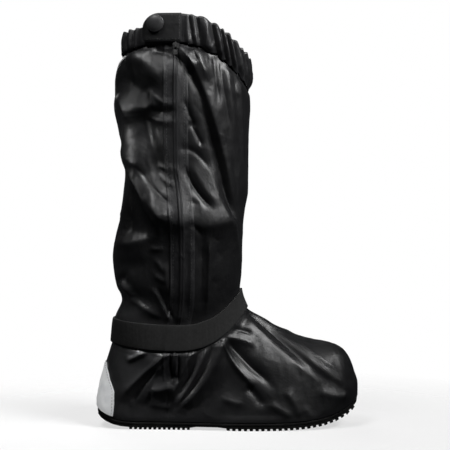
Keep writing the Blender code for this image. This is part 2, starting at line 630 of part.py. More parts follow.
def base_bottom(turns):
    """The base's lower edge on each side as functions of x, with its slope along the sole."""
    edge = sole_bottom(turns)
    half = len(turns) // 2
    sides = {NEAR: edge[: half + 1], FAR: np.concatenate([edge[half:], edge[:1]])}
    bottom = {}
    for side, points in sides.items():
        points = points[np.argsort(points[:, 0])]
        x, y, z = points.T
        bottom[side] = {"x": x, "y": y, "z": z, "slope": np.gradient(z, x)}
    return bottom


def build_outsole(upper, home, cutters):
    base = sole_base(upper.turns, home)
    bottom = base_bottom(upper.turns)
    work = bmesh.new()
    for field in LUG_FIELDS:
        for side, shift in ((NEAR, 0.0), (FAR, field.pitch / 2)):
            for x in np.arange(field.start + shift, field.end - field.length, field.pitch):
                ends = np.array([x, x + field.length])
                reach = np.abs(np.interp(ends, bottom[side]["x"], bottom[side]["y"])).min()
                if reach - GROOVE_HALF > LUG_MIN_RUN:
                    lug(work, bottom, x, x + field.length, side)
    bmesh.ops.recalc_face_normals(work, faces=work.faces)
    mesh = bpy.data.meshes.new("lugs")
    work.to_mesh(mesh)
    work.free()
    lugs = bpy.data.objects.new("lugs", mesh)
    cutters.objects.link(lugs)
    combine(base, lugs, "UNION")
    return base


def main():
    clear_scene()
    boot = collection("overboot")
    cutters = collection("cutters")
    cutters.hide_render = True
    upper = Upper()
    build_outsole(upper, boot, cutters)
    build_upper(upper, boot)
    build_strap(upper, boot)
    build_heel_patch(boot)
    build_zip(upper, boot)
    build_cuff(upper, boot)
    build_snap(upper, boot)
    build_slider(upper, boot, cutters)


main()
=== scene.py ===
"""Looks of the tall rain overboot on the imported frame: creased coated cloth, gathered collar, side zip,
ankle strap, heel patch and sole. Metres, +X to the toe, -Y to the outer side, +Z up."""

import math
from collections import namedtuple

import bmesh
import bpy
import numpy as np
from mathutils import Matrix, Vector, noise


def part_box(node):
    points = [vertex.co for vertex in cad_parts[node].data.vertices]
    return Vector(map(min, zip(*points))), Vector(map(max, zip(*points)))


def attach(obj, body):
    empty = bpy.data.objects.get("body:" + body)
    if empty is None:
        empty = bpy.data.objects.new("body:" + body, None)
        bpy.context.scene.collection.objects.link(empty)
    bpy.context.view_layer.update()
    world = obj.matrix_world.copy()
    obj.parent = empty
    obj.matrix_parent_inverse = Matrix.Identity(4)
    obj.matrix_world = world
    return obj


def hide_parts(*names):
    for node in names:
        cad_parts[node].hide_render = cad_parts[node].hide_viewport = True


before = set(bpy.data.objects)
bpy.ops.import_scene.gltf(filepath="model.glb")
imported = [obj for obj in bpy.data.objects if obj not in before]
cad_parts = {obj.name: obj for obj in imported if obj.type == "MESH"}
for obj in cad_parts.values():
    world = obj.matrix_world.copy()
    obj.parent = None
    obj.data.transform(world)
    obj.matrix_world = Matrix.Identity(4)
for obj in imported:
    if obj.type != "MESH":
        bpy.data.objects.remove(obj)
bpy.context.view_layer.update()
BODY = "boot"

# The tables are drawn in millimetres on an upper of this length and height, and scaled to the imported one
MM = 0.001
DRAWN_LENGTH, DRAWN_HEIGHT = 286.0, 446.0
DRAWN_HEEL_X = 1.5
DRAWN_MIDDLE_Y = -2.84
UPPER_LOW, UPPER_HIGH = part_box("upper")
SCALE_X = (UPPER_HIGH[0] - UPPER_LOW[0]) / DRAWN_LENGTH
SCALE_Z = UPPER_HIGH[2] / DRAWN_HEIGHT
SCALE = np.array([SCALE_X, SCALE_X, SCALE_Z])
MIDDLE = np.array([DRAWN_HEEL_X - UPPER_LOW[0] / SCALE_X, DRAWN_MIDDLE_Y, 0.0])

# Rings of the upper from the sole to the collar: heel, side and toe points, half the width at the ball, the
# heel's share of it, the rounded heel's length, how late the ring climbs to the toe, the inner side's drop
RING_COLUMNS = "name back_x back_z side_x side_z front_x front_z half heel_share heel_round rise far_drop"
Ring = namedtuple("Ring", RING_COLUMNS, defaults=(1, 74, 2.0, 0))
RINGS = [
    Ring("feather", 1.2, 20, 80, 8, 288.4, 33, 50, 0.71, 38, 8.0),
    Ring("toe_lip", 0.9, 28, 81, 16, 288.6, 46, 51, 0.73, 40, 6.5),
    Ring("toe_front", 2.5, 38, 83, 26, 284.5, 60, 51, 0.75, 42, 5.5),
    Ring("toe_brow", 4.6, 48, 85, 36, 279, 74, 51, 0.77, 45, 4.6),
    Ring("toe_top", 7, 57, 87, 45, 270, 85, 50.5, 0.80, 48, 4.0),
    Ring("vamp_low", 9.2, 65, 88, 53, 256, 91, 50, 0.84, 52, 3.6),
    Ring("vamp", 11.2, 72, 88, 61, 235, 95, 49.5, 0.88, 56, 3.2),
    Ring("vamp_high", 13.2, 79, 88, 69, 209, 103.5, 49, 0.92, 61, 2.9),
    Ring("instep", 15.2, 86, 88, 77.5, 184, 118, 48.5, 0.97, 67, 2.7),
    Ring("strap_low", 17.5, 93, 88.5, 86, 165, 130, 48, 1, 74, 2.5),
    Ring("strap_high", 20.5, 119, 92, 114, 158, 151, 48, 1, 74, 2.5),
    Ring("neck", 28, 139, 95, 134, 159.5, 166, 51, 1, 74, 2.3),
    Ring("ankle", 21.7, 157, 96, 153, 160, 180, 56),
    Ring("bulge", 18.3, 186, 96.5, 184, 160.5, 201, 60),
    Ring("bulge_top", 21.7, 210, 96.5, 210, 161.5, 221, 62),
    Ring("shin_low", 27.2, 232, 95, 234, 163.5, 238, 62),
    Ring("shin", 30.3, 258, 93, 259, 167, 259, 61),
    Ring("waist", 32.8, 284, 90, 284, 167.2, 280, 60.5),
    Ring("calf_low", 29.4, 305, 89.5, 307, 167.2, 300, 61.5),
    Ring("calf", 24, 327, 89.5, 329, 167.6, 320, 63.5, far_drop=1),
    Ring("calf_high", 20.6, 350, 89.5, 352, 168.5, 336, 65, far_drop=3),
    Ring("calf_top", 20.6, 377, 89.5, 378, 169.3, 350, 65, far_drop=6),
    Ring("shoulder", 24.5, 396, 89.5, 400, 169, 361, 62, 1, 74, 2.1, 10),
    Ring("cuff_seam", 31, 407, 89.5, 414, 166, 371, 57.5, 1, 74, 2.3, 13),
    Ring("collar", 33, 428, 89.5, 446, 166, 402, 57, 1, 74, 2.1, 20),
]
ROW = {ring.name: index for index, ring in enumerate(RINGS)}
CUFF_SEAM = ROW["cuff_seam"]
STRAP_MIDDLE = ROW["strap_low"] + 0.5

# Plan shape of the foot, in millimetres
SIDE_SPREAD = 60.0
TOE_ROUND = 92.0
FOOT_ROUND, SHAFT_ROUND = 2.2, 3.0        # powers of the rounded ends: 2 is an ellipse, more is squarer
HEEL_RISE = 5.0
SHAFT_RISE = 2.0
COLLAR_RISE = 0.55
TOE_SWING = 7.0
SWING_FROM, SWING_TO = 110.0, 285.0
WAIST_FROM, WAIST_TO = 55.0, 195.0
ARCH_IN, ARCH_AT, ARCH_SPAN, ARCH_ROWS = 8.0, 125.0, 45.0, 6.0

# Creases in side view: three points of a curve, the widths of its flanks towards heel and toe (downward and
# upward on a level one), its height, and the shares of its run over which it rises and dies away
Fold = namedtuple("Fold", "x0 z0 x1 z1 x2 z2 rear front height start end", defaults=(0.25, 0.25))
NEAR, FAR = -1, 1
SHAFT_FOLDS = [Fold(*row) for row in (
    (87, 401, 108, 392, 130, 318, 3.4, 1.8, -3.4, 0.1, 0.5),
    (112, 366, 138, 288, 156, 200, 4.6, 2.2, -5.4, 0.4, 0.35),
    (97, 402, 124, 384, 161, 198, 2.2, 7, 3.5, 0.1, 0.35),
    (50, 246, 104, 204, 156, 232, 8, 15, 8, 0.4, 0.12),
    (34, 342, 32, 268, 80, 208, 3.4, 13, 8.5, 0.3, 0.15),
    (34, 306, 44, 292, 58, 274, 4, 14, 4.5, 0.5, 0.4),
    (57, 346, 57, 292, 90, 250, 10.5, 9, -9.2, 0.15, 0.35),
    (46, 290, 62, 258, 92, 236, 1.2, 1.5, -2.2),
    (56, 254, 64, 234, 84, 220, 2.4, 8, 3, 0.4, 0.3),
    (22, 222, 46, 211, 74, 216, 9, 26, -7, 0.3, 0.3),
    (18, 201, 48, 200, 80, 214, 8, 5, 3.4),
    (14, 178, 44, 176, 70, 180, 9, 8, -3, 0.25, 0.4),
    (60, 197, 70, 193, 80, 198, 1.8, 2.4, 2, 0.4, 0.4),
    (65, 187, 74, 178, 77, 168, 1.6, 2.2, 1.8, 0.4, 0.4),
    (78, 184, 80, 164, 81, 144, 2.4, 2.4, 2.4, 0.3, 0.3),
    (66, 169, 72, 163, 80, 160, 1.8, 2.2, 2, 0.4, 0.3),
    (96, 210, 107, 232, 119, 204, 2.4, 3, -2.6, 0.3, 0.3),
    (24, 168, 40, 156, 60, 130, 6, 5, -4),
    (26, 161, 35, 151, 46, 140, 3, 4.5, 4, 0.2, 0.5),
    (34, 145, 54, 133, 76, 120, 3, 4, 2.8, 0.25, 0.3),
    (64, 156, 76, 134, 84, 116, 1.4, 1.6, 3, 0.2, 0.2),
    (70, 156, 81, 134, 88, 116, 1.4, 1.6, -2.5, 0.2, 0.2),
    (91, 413, 100, 403, 109, 380, 3.5, 4.5, 4.5),
    (104, 411, 114, 400, 124, 372, 4, 5, 4.5),
    (105, 412, 108, 404, 113, 390, 1.5, 1.5, -2.5),
    (129, 408, 131, 385, 136, 346, 2.4, 2.4, -2),
    (136, 400, 139, 372, 148, 316, 2, 2.4, -1.6),
    (142, 396, 147, 364, 154, 300, 2.8, 3.6, 1.4),
    (150, 388, 154, 356, 159, 290, 2, 2.6, -1.1),
    (157, 380, 160, 346, 162, 270, 2.4, 2.4, 1.4),
    (148, 300, 154, 262, 159, 226, 2.4, 3, -1.2),
    (32, 394, 58, 408, 77, 362, 8, 8, 5),
    (64, 411, 78, 405, 90, 398, 4, 6, -4),
    (22, 382, 44, 374, 66, 350, 7, 7, -3),
    (62, 366, 64, 354, 67, 343, 2.5, 2.5, 2),
    (25, 364, 35, 344, 44, 322, 4, 5, 4.5, 0.25, 0.4),
    (64, 362, 77, 342, 90, 352, 1.8, 1.8, 1.8),
    (58, 344, 74, 339, 92, 342, 3, 3, -2.6),
    (56, 338, 68, 328, 92, 331, 2.4, 2.4, 2.2),
    (97, 356, 104, 336, 111, 322, 1.8, 2.4, -2.2),
    (103, 332, 111, 318, 119, 302, 1.8, 2.4, -2.2),
    (90, 298, 106, 312, 130, 274, 2.4, 3, -1.8),
    (99, 284, 104, 260, 130, 236, 2, 2.6, -4, 0.25, 0.2),
    (106, 288, 114, 262, 136, 240, 3, 5, 1.6),
    (70, 278, 80, 262, 90, 264, 1.6, 1.8, 2.4),
    (68, 286, 79, 278, 90, 282, 1.6, 1.6, 1.8),
    (105, 214, 107, 170, 104, 122, 3, 5, 2.4),
    (117, 214, 119, 186, 114, 132, 2.2, 3.2, -1.3, 0.5, 0.4),
    (124, 212, 125, 170, 121, 128, 2, 3.4, 3.2),
    (147, 232, 154, 206, 158, 168, 2.5, 2.5, 2.5),
)]
FOOT_FOLDS = [Fold(*row) for row in (
    (112, 62, 190, 66, 268, 50, 26, 22, -6, 0.25, 0.25),
    (164, 120, 196, 90, 256, 42, 14, 3, 2.2, 0.1, 0.3),
    (167, 129, 196, 104, 246, 60, 2.6, 2.8, -4.6, 0.05, 0.4),
    (192, 112, 230, 76, 284, 36, 2.6, 5.5, 2.1, 0.3, 0.2),
    (216, 98, 240, 80, 266, 62, 2, 3, 1.4),
    (143, 97, 168, 74, 200, 40, 3.6, 4, -5, 0.12, 0.4),
    (138, 100, 147, 70, 182, 38, 1.8, 3.6, 3.2, 0.08, 0.3),
    (140, 101, 158, 98, 176, 90, 2.4, 3, 2.3),
    (146, 110, 160, 108, 172, 103, 2, 2, -2.4),
    (164, 50, 174, 38, 184, 24, 3.6, 3.6, -3.4),
    (186, 30, 200, 24, 214, 12, 3.6, 4, 2.4),
    (204, 44, 218, 30, 222, 10, 2.6, 5, 2.6),
    (138, 98, 134, 56, 82, 14, 7, 4, 4.4, 0.1, 0.25),
    (128, 96, 124, 62, 90, 26, 1.8, 1.8, -2.2),
    (122, 94, 117, 60, 86, 24, 3, 1.4, 2.4),
    (112, 94, 98, 66, 84, 34, 3, 1.4, 2.6),
    (116, 90, 104, 60, 88, 32, 1.6, 1.6, -2),
    (85, 86, 56, 64, 28, 32, 3.4, 1.2, 3, 0.1, 0.25),
    (80, 74, 58, 60, 58, 28, 2.6, 1.4, 2.4),
    (59, 45, 72, 40, 88, 50, 6, 4.5, 4.4),
    (58, 28, 72, 25, 88, 24, 3, 4, 2),
    (14, 30, 60, 25, 112, 24, 9, 5, -2, 0.2, 0.3),
    (80, 46, 80, 30, 80, 9, 0.8, 0.8, -0.8, 0.2, 0.1),
    (34, 73, 46, 78, 60, 86, 3, 1.6, 2.8),
    (72, 68, 50, 52, 40, 26, 3, 3, -3),
    (83, 84, 84, 68, 86, 52, 1.5, 1.5, -3.4),
    (92, 84, 92, 68, 91, 50, 1.2, 1.4, -2.8),
    (136, 36, 150, 30, 162, 28, 3.6, 3, 2),
    (240, 44, 262, 30, 278, 36, 4, 5, 2.5),
)]
FAR_FOLDS = [Fold(*row) for row in (
    (50, 392, 92, 320, 142, 250, 4.5, 4.5, -5),
    (62, 398, 104, 330, 150, 272, 5, 4, 3.4),
    (128, 392, 124, 350, 108, 300, 4, 4, 3.2),
    (146, 380, 140, 340, 120, 300, 3.5, 3.5, -3.2),
    (30, 340, 62, 296, 96, 270, 4, 4, 4),
    (32, 300, 70, 262, 112, 246, 4, 4, 4.6),
    (34, 286, 72, 252, 112, 236, 3.5, 3.5, -4.4),
    (40, 228, 92, 220, 150, 234, 3.5, 8, 5),
    (36, 200, 92, 188, 146, 202, 4.5, 4.5, -3.6),
    (70, 205, 74, 170, 70, 132, 3.2, 3.2, 2.6),
    (92, 202, 96, 168, 92, 128, 3.2, 3.2, -2.6),
    (116, 200, 120, 168, 116, 134, 3.2, 3.2, 2.6),
    (164, 124, 202, 78, 252, 32, 5, 5, 4.6),
    (166, 130, 192, 106, 216, 80, 2.6, 2.6, -3.6),
    (190, 118, 228, 86, 276, 42, 3.4, 3.4, 3.2),
    (136, 104, 148, 70, 176, 36, 2.4, 3.2, 3.6),
    (132, 100, 122, 64, 98, 30, 2.6, 2.6, 3),
    (108, 90, 100, 62, 88, 34, 2.6, 2.6, -2.6),
    (82, 86, 60, 66, 36, 38, 2.4, 2.4, 2.6),
)]
FOLD_STEP = 1.0             # spacing of the points that a crease is measured from, millimetres
FOLD_CREST = (0.35, 0.85)   # roundness of a crease's crest, as a share of its flank: narrow and wide creases
FOLD_WIDE = 10.0            # flank of a wide crease, millimetres
FOLD_REACH = 6.0            # flanks out to which a crease is felt
FOLD_LEVEL = 0.1            # slope up towards the toe below which a crease counts as level
FOLD_SIDE_FADE = 0.15       # sine of the turn from toe or back at which creases reach their full height

# Small random wrinkles: their ranges in side view, slant with its spread, and bend as a share of their length
WRINKLE_SEED = 11
WRINKLE_COUNT = 170
WRINKLE_X, WRINKLE_Z = (20, 280), (14, 405)
WRINKLE_SLANT = (math.radians(-62), 0.55)
WRINKLE_LENGTH = (10.0, 34.0)
WRINKLE_BEND = 0.2
WRINKLE_WIDTH = (1.4, 3.4)
WRINKLE_HEIGHT = 0.45
WRINKLE_FADES = (0.4, 0.4)

# Short upright gathers where the cuff draws the cloth in, two hollows to a ridge, and the groove at its seam
SEAM_POINTS = 200
GATHER_START, GATHER_STEP, GATHER_SHIFT = 3.0, 7.0, 2.0
GATHER_ABOVE = 6.0
GATHER_RUN = (14.0, 40.0)
GATHER_WIDTH = (1.3, 2.4)
GATHER_SIGNS = [-1.0, -1.0, 0.7]
GATHER_HEIGHT = (0.5, 1.4)
GATHER_FOLD = 0.75
GATHER_DRIFT, GATHER_BEND = (0.08, 0.08), 0.3
GATHER_FADES = (0.05, 0.8)
GROOVE_DEPTH, GROOVE_LEAST, GROOVE_NOISE = 3.2, 0.1, 9.0
GROOVE_ROWS, GROOVE_REACH = 0.14, 4.0

# Fine crumple of the whole cloth; its ridged noise has a dimension, lacunarity, octaves, offset and gain
CRUMPLE_SIZE = (13.0, 13.0, 40.0)
CRUMPLE_HEIGHT = 0.42
CRUMPLE_NOISE = (1.0, 2.1, 3, 0.9, 1.6)
CRUMPLE_MEAN = 0.9

# Creases die away over these rows at the sole, at these rates to a row beside the strap and under the cuff
SOLE_FADE = 1.2
STRAP_CLEAR, STRAP_RATE = 0.52, 2.2
CUFF_RATE = 1.6

# Steps in turns and rows that normals are measured by, on the smooth and on the creased cloth
NORMAL_STEP, CREASED_NORMAL_STEP = 0.004, 0.01

# Zip, in millimetres from its middle; its steps and fades are in rows
ZIP_HALF = 13.0
ZIP_FOOT = float(ROW["vamp_low"])
ZIP_HEAD = CUFF_SEAM - 0.03
ZIP_TUCK = 1.6              # rows over which the zip's foot slips under the cloth
ZIP_CREST = 3.2
ZIP_CREST_REAR, ZIP_CREST_FRONT = 14.0, 11.0
ZIP_CREST_FROM, ZIP_CREST_TO = 5.0, 22.2
ZIP_CREST_FADES = (3.0, 1.2)
TAPE_STAND, TAPE_THICK = 0.3, 0.4
TAPE_COLUMNS, TAPE_STEP = 24, 0.12
TAPE_INNER = 1.2
TAPE_SINK = 0.3             # how far the tapes thin out at their outer edges
HEM_BEAD, HEM_HALF = 0.9, 1.2
HEM_PUCKER, HEM_PUCKER_SHARE = 4.0, 0.3
HEM_Z, HEM_RUN, HEM_LEAST = 165.0, 40.0, 0.35
CHAIN_HALF, CHAIN_STAND, CHAIN_THICK = 2.5, 0.8, 0.9
CHAIN_COLUMNS, CHAIN_STEP = 13, 0.022
COIL_MIDDLE, COIL_HALF = 1.25, 1.3
COIL_PITCH, COIL_RIB = 1.3, 0.2

# Mesh densities
NEAR_COLUMNS, ZIP_COLUMNS, FAR_COLUMNS = (110, 50), 26, 62
FOOT_ROWS, SHAFT_ROWS, CUFF_ROWS = 8, 17, 4         # rows to a ring
LINING_STEP = 5                                     # rows of the cloth to a row of its lining
WALL = 1.6

# Rounded edges, in millimetres
BEVEL_SEGMENTS, BEVEL_ANGLE = 2, math.radians(50)
STRAP_EDGE, SHEET_EDGE, SOLE_EDGE, SLIDER_EDGE, PULL_EDGE = 0.5, 0.3, 0.4, 0.3, 0.25

# Ankle strap, which rises beside the zip to clear its tapes
STRAP_ROWS = 16
STRAP_THICK, STRAP_STAND, STRAP_PUFF = 2.0, 0.3, 0.3
STRAP_OVER_ZIP, STRAP_EASE = 0.6, 4.0

# Heel patch
PATCH_STAND, PATCH_THICK = 0.4, 0.8
PATCH_GRID, PATCH_TOP_POINTS, PATCH_SEARCH = (60, 70), 40, 400
PatchRow = namedtuple("PatchRow", "row edge_x")
PATCH_ROWS = [PatchRow(0.35, 21), PatchRow(1, 21.5), PatchRow(2, 22), PatchRow(3, 22.5), PatchRow(4, 18),
              PatchRow(5, 14.5), PatchRow(5.8, 12.7)]

# Collar cuff: its foot and span in rows, its swelling in shares of its height, and the lobes of its gathers
CUFF_COLUMNS, CUFF_POINTS, CUFF_LINING_STEP = 760, 18, 4
CUFF_FOOT, CUFF_SPAN = 0.03, 0.95
CUFF_STAND, CUFF_LEAST, CUFF_SKIN, CUFF_INNER = 0.8, 0.4, 0.5, 0.3
CUFF_BELLY, BELLY_POWER = (0.08, 0.92), 0.6
CUFF_PINCH = (0.1, 0.4)     # shares over which it swells out of its seam, at the side and the front
PINCH_LEAST = 0.15
CUFF_CRUMPLE, CUFF_GRAIN = 0.9, 1.8
CUFF_SCALLOP = (0.4, 0.8)   # how far the gathers wave the cuff's top and foot, as shares of their depth
LOBE_SEED = 5
LOBE_COUNT = 40
LOBE_DEPTH, LOBE_LEAST, LOBE_EASE = 6.0, 0.3, 0.2
LOBE_LEAN = 14.0            # ridges lean ahead at their tops by this much, less beside the zip
LOBE_LEAN_SPREAD = 1.5
LOBE_LEAN_BACK = -0.1       # share of that lean behind the zip
LOBE_POWER, LOBE_SHIFT, LOBE_BOW, LOBE_HEIGHTS = 1.3, 0.38, 1.2, (0.4, 1.15)

# Snap tab and its snap, in millimetres ahead of the zip and above the floor; the snap's profile is in shares
# of its radius and height
TAB_BACK, TAB_FRONT = -34.0, 6.0
TAB_LOW, TAB_HIGH = 415.6, 445.6
TAB_CORNER, TAB_FOOT_CORNER = 17.0, 4.0
TAB_ROW = CUFF_SEAM + 0.4
TAB_GRID, TAB_TIP = (36, 60), 0.02
TAB_STAND, TAB_THICK, TAB_PUFF, TAB_PUFF_RUN = 4.1, 1.5, 0.5, 3.0
TAB_LEAN, TAB_TOP_LEAN = 1.0, 0.3    # how far its foot lies behind its middle, and its top's share of that
TAB_CLEAR, TAB_CLEAR_RUN = 1.0, 9.0  # where the gathers start beside it, and how far on they are full
SNAP_OFFSET, SNAP_Z, SNAP_STAND = -20.5, 434.4, 0.3
SNAP_RADIUS, SNAP_HEIGHT, SNAP_SIDES = 9.4, 3.2, 64
SNAP_PROFILE = [(0, 0), (0.93, 0), (0.98, 0.08), (1, 0.2), (0.985, 0.36), (0.95, 0.47), (0.9, 0.52),
                (0.86, 0.53), (0.82, 0.58), (0.7, 0.73), (0.5, 0.89), (0.25, 0.975), (0, 1)]

# Stitches: length, gap and thread radius, the thread's form along one, and each row's distance from its edge
STITCH_LENGTH, STITCH_GAP, STITCH_RADIUS = 2.4, 1.0, 0.2
STITCH_SIDES = 6
STITCH_SHARES = np.array([0.0, 0.12, 0.5, 0.88, 1.0])
STITCH_WIDTHS = np.array([0.25, 0.85, 1.0, 0.85, 0.25])
STITCH_LIFTS = np.array([-0.9, 0.1, 0.5, 0.1, -0.9])
ZIP_STITCH, ZIP_STITCH_STEP, ZIP_STITCH_CLEAR = 9.2, 0.04, 0.1
SEAM_STITCH_ROW, SEAM_STITCH_POINTS, SEAM_STITCH_CLEAR = CUFF_SEAM - 0.12, 900, 1.0
PATCH_STITCH, PATCH_STITCH_ENDS = 2.0, (0.2, 0.3)
TAB_STITCH, TAB_STITCH_POINTS, TAB_STITCH_SINK = 2.2, 30, 0.1

# Ranges of the textures' noise that are spread over a finish's roughness and its tints
ROUGH_RANGE, TINT_RANGE = (0.3, 0.7), (0.35, 0.65)

# Floor, a disc that fades out round the boot, and the background
FLOOR_RADIUS, FLOOR_SIDES = 2.5, 96
FLOOR_GLOW, FLOOR_FADE = 0.62, (0.2, 0.5)
WORLD_COLOUR, WORLD_STRENGTH = (0.9, 0.95, 1.0, 1.0), 0.025
WHITE = (1.0, 1.0, 1.0, 1.0)

# Square lamps: place, aim, side, power in watts, and spread in degrees
Lamp = namedtuple("Lamp", "name at aim side power spread", defaults=(180.0,))
BOOT_MIDDLE = (0.0, 0.0, 0.22)
LAMPS = [
    Lamp("key", (0.78, -0.64, 1.3), (-0.09, -0.02, 0.38), 0.7, 2.8, 40.0),
    Lamp("side", (-0.55, -0.6, 1.72), BOOT_MIDDLE, 0.5, 15.0),
    Lamp("left", (-1.08, -0.84, 0.63), (-0.112, -0.04, 0.312), 0.05, 0.0105, 5.0),
    Lamp("back", (-0.35, 1.3, 1.1), BOOT_MIDDLE, 0.8, 9.0),
    Lamp("heel", (-0.8, -0.25, 0.05), (-0.138, -0.01, 0.04), 0.2, 2.4),
    Lamp("foot", (-0.8, -0.45, 1.05), (-0.06, -0.05, 0.03), 0.06, 0.055, 7.0),
]

# Camera, from the photograph's perspective
CAMERA_X, CAMERA_Z = -0.0028, 0.221
CAMERA_DISTANCE = 1.3
CAMERA_CLIP = (0.05, 50.0)
LENS, SENSOR = 93.6, 36.0


def smooth_step(value):
    value = np.clip(value, 0.0, 1.0)
    return value * value * (3.0 - 2.0 * value)


def ring_value(column, rows):
    """A ring column at fractional rows, joined by monotone cubic pieces."""
    knots = np.array([getattr(ring, column) for ring in RINGS], float)
    step = np.diff(knots)
    slope = np.zeros(len(knots))
    product = step[:-1] * step[1:]
    total = np.where(product > 0, step[:-1] + step[1:], 1.0)
    slope[1:-1] = np.where(product > 0, 2.0 * product / total, 0.0)
    slope[0], slope[-1] = step[0], step[-1]
    index = np.clip(np.floor(rows).astype(int), 0, len(knots) - 2)
    f = rows - index
    start = (1 + 2 * f) * (1 - f) ** 2 * knots[index] + f * (1 - f) ** 2 * slope[index]
    return start + f * f * (3 - 2 * f) * knots[index + 1] + f * f * (f - 1) * slope[index + 1]


def rounded_end(distance, length, power):
    reach = np.clip(1.0 - distance / length, 0.0, 1.0)
    return (1.0 - reach**power) ** (1.0 / power)


def smooth_upper(turns, rows):
    """Points of the upper without creases, millimetres. Turn 0 is the toe, minus a quarter the outer side."""
    ring = {column: ring_value(column, rows) for column in Ring._fields[1:]}
    ahead = np.cos(turns)
    run = np.where(ahead > 0, ring["front_x"] - ring["side_x"], ring["side_x"] - ring["back_x"])
    x = ring["side_x"] + SIDE_SPREAD * ahead + (run - SIDE_SPREAD) * ahead**3
    share = np.clip(np.abs(x - ring["side_x"]) / run, 0.0, 1.0)
    heel_rise = np.interp(rows, (0, ROW["instep"], CUFF_SEAM, ROW["collar"]),
                          (HEEL_RISE, SHAFT_RISE, SHAFT_RISE, COLLAR_RISE))
    inner = np.clip(np.sin(turns), 0.0, 1.0)
    side_z = ring["side_z"] - ring["far_drop"] * inner**2
    front = side_z + (ring["front_z"] - side_z) * share ** ring["rise"]
    back = side_z + (ring["back_z"] - side_z) * share**heel_rise
    z = np.where(ahead > 0, front, back)
    blend = smooth_step((x - WAIST_FROM) / (WAIST_TO - WAIST_FROM))
    half = ring["half"] * (ring["heel_share"] + (1.0 - ring["heel_share"]) * blend)
    middle = 0.5 * (ring["front_x"] - ring["back_x"])
    power = np.interp(rows, (ROW["instep"], ROW["ankle"]), (FOOT_ROUND, SHAFT_ROUND))
    half = half * rounded_end(x - ring["back_x"], np.minimum(ring["heel_round"], middle), power)
    half = half * rounded_end(ring["front_x"] - x, np.minimum(TOE_ROUND, middle), power)
    arch = ARCH_IN * np.exp(-(((x - ARCH_AT) / ARCH_SPAN) ** 2)) * np.clip(1.0 - rows / ARCH_ROWS, 0.0, 1.0)
    half = np.where(np.sin(turns) > 0, half - arch, half)
    swing = TOE_SWING * smooth_step((x - SWING_FROM) / (SWING_TO - SWING_FROM))
    y = swing + np.sign(np.sin(turns)) * np.where(np.abs(np.sin(turns)) < 1e-9, 0.0, half)
    return np.stack([x, y, z], axis=-1)


def to_world(drawn):
    return (np.asarray(drawn, float) - MIDDLE) * SCALE


def unit(vectors):
    return vectors / np.maximum(np.linalg.norm(vectors, axis=-1, keepdims=True), 1e-12)


def face_normals(surface, turns, rows, step):
    """Outward normals of a surface over turns and rows, from small steps to both sides."""
    around = surface(turns + step, rows) - surface(turns - step, rows)
    high = np.minimum(rows + step, len(RINGS) - 1.0)
    low = np.maximum(rows - step, 0.0)
    return unit(np.cross(around, surface(turns, high) - surface(turns, low)))


def smooth_normals(turns, rows):
    return face_normals(smooth_upper, turns, rows, NORMAL_STEP)


def fold_curve(fold):
    """Points along a crease with their share of its run."""
    span = math.hypot(fold.x1 - fold.x0, fold.z1 - fold.z0) + math.hypot(fold.x2 - fold.x1, fold.z2 - fold.z1)
    s = np.linspace(0.0, 1.0, int(span / FOLD_STEP) + 2)
    x = (1 - s) ** 2 * fold.x0 + 2 * s * (1 - s) * fold.x1 + s * s * fold.x2
    z = (1 - s) ** 2 * fold.z0 + 2 * s * (1 - s) * fold.z1 + s * s * fold.z2
    return x, z, s


def one_fold(fold, px, pz):
    """Height of one crease at side-view points."""
    x, z, s = fold_curve(fold)
    away = np.hypot(px[:, None] - x, pz[:, None] - z)
    nearest = np.argmin(away, axis=1)
    distance = away[np.arange(len(px)), nearest]
    chord_x, chord_z = fold.x2 - fold.x0, fold.z2 - fold.z0
    falls = -chord_z + FOLD_LEVEL * chord_x > 0
    ahead_x, ahead_z = (-chord_z, chord_x) if falls else (chord_z, -chord_x)
    before = (px - x[nearest]) * ahead_x + (pz - z[nearest]) * ahead_z < 0
    flank = np.where(before, fold.rear, fold.front)
    crest = flank * np.interp(flank, (0.0, FOLD_WIDE), FOLD_CREST)
    profile = np.exp(-(np.sqrt(distance**2 + crest**2) - crest) / flank)
    share = s[nearest]
    ends = smooth_step(share / fold.start) * smooth_step((1.0 - share) / fold.end)
    return fold.height * profile * ends


def add_folds(total, folds, points, facing):
    for fold in folds:
        reach = FOLD_REACH * max(fold.rear, fold.front)
        xs, zs = (fold.x0, fold.x1, fold.x2), (fold.z0, fold.z1, fold.z2)
        felt = (facing > 0) & (points[..., 0] > min(xs) - reach) & (points[..., 0] < max(xs) + reach)
        felt &= (points[..., 2] > min(zs) - reach) & (points[..., 2] < max(zs) + reach)
        total[felt] += one_fold(fold, points[felt][:, 0], points[felt][:, 2]) * facing[felt]


def random_wrinkles(seed):
    """Short weak creases over the whole side, most of them along the shaft's slant."""
    rng = np.random.default_rng(seed)
    made = []
    for _ in range(WRINKLE_COUNT):
        x = rng.uniform(*WRINKLE_X)
        z = rng.uniform(*WRINKLE_Z)
        slant = rng.normal(*WRINKLE_SLANT)
        run = rng.uniform(*WRINKLE_LENGTH)
        dx, dz = run * math.cos(slant) / 2, run * math.sin(slant) / 2
        bend = rng.normal(0.0, WRINKLE_BEND) * run
        width = rng.uniform(*WRINKLE_WIDTH)
        height = rng.normal(0.0, WRINKLE_HEIGHT)
        made.append(Fold(x - dx, z - dz, x + bend, z, x + dx, z + dz, width, width, height, *WRINKLE_FADES))
    return made


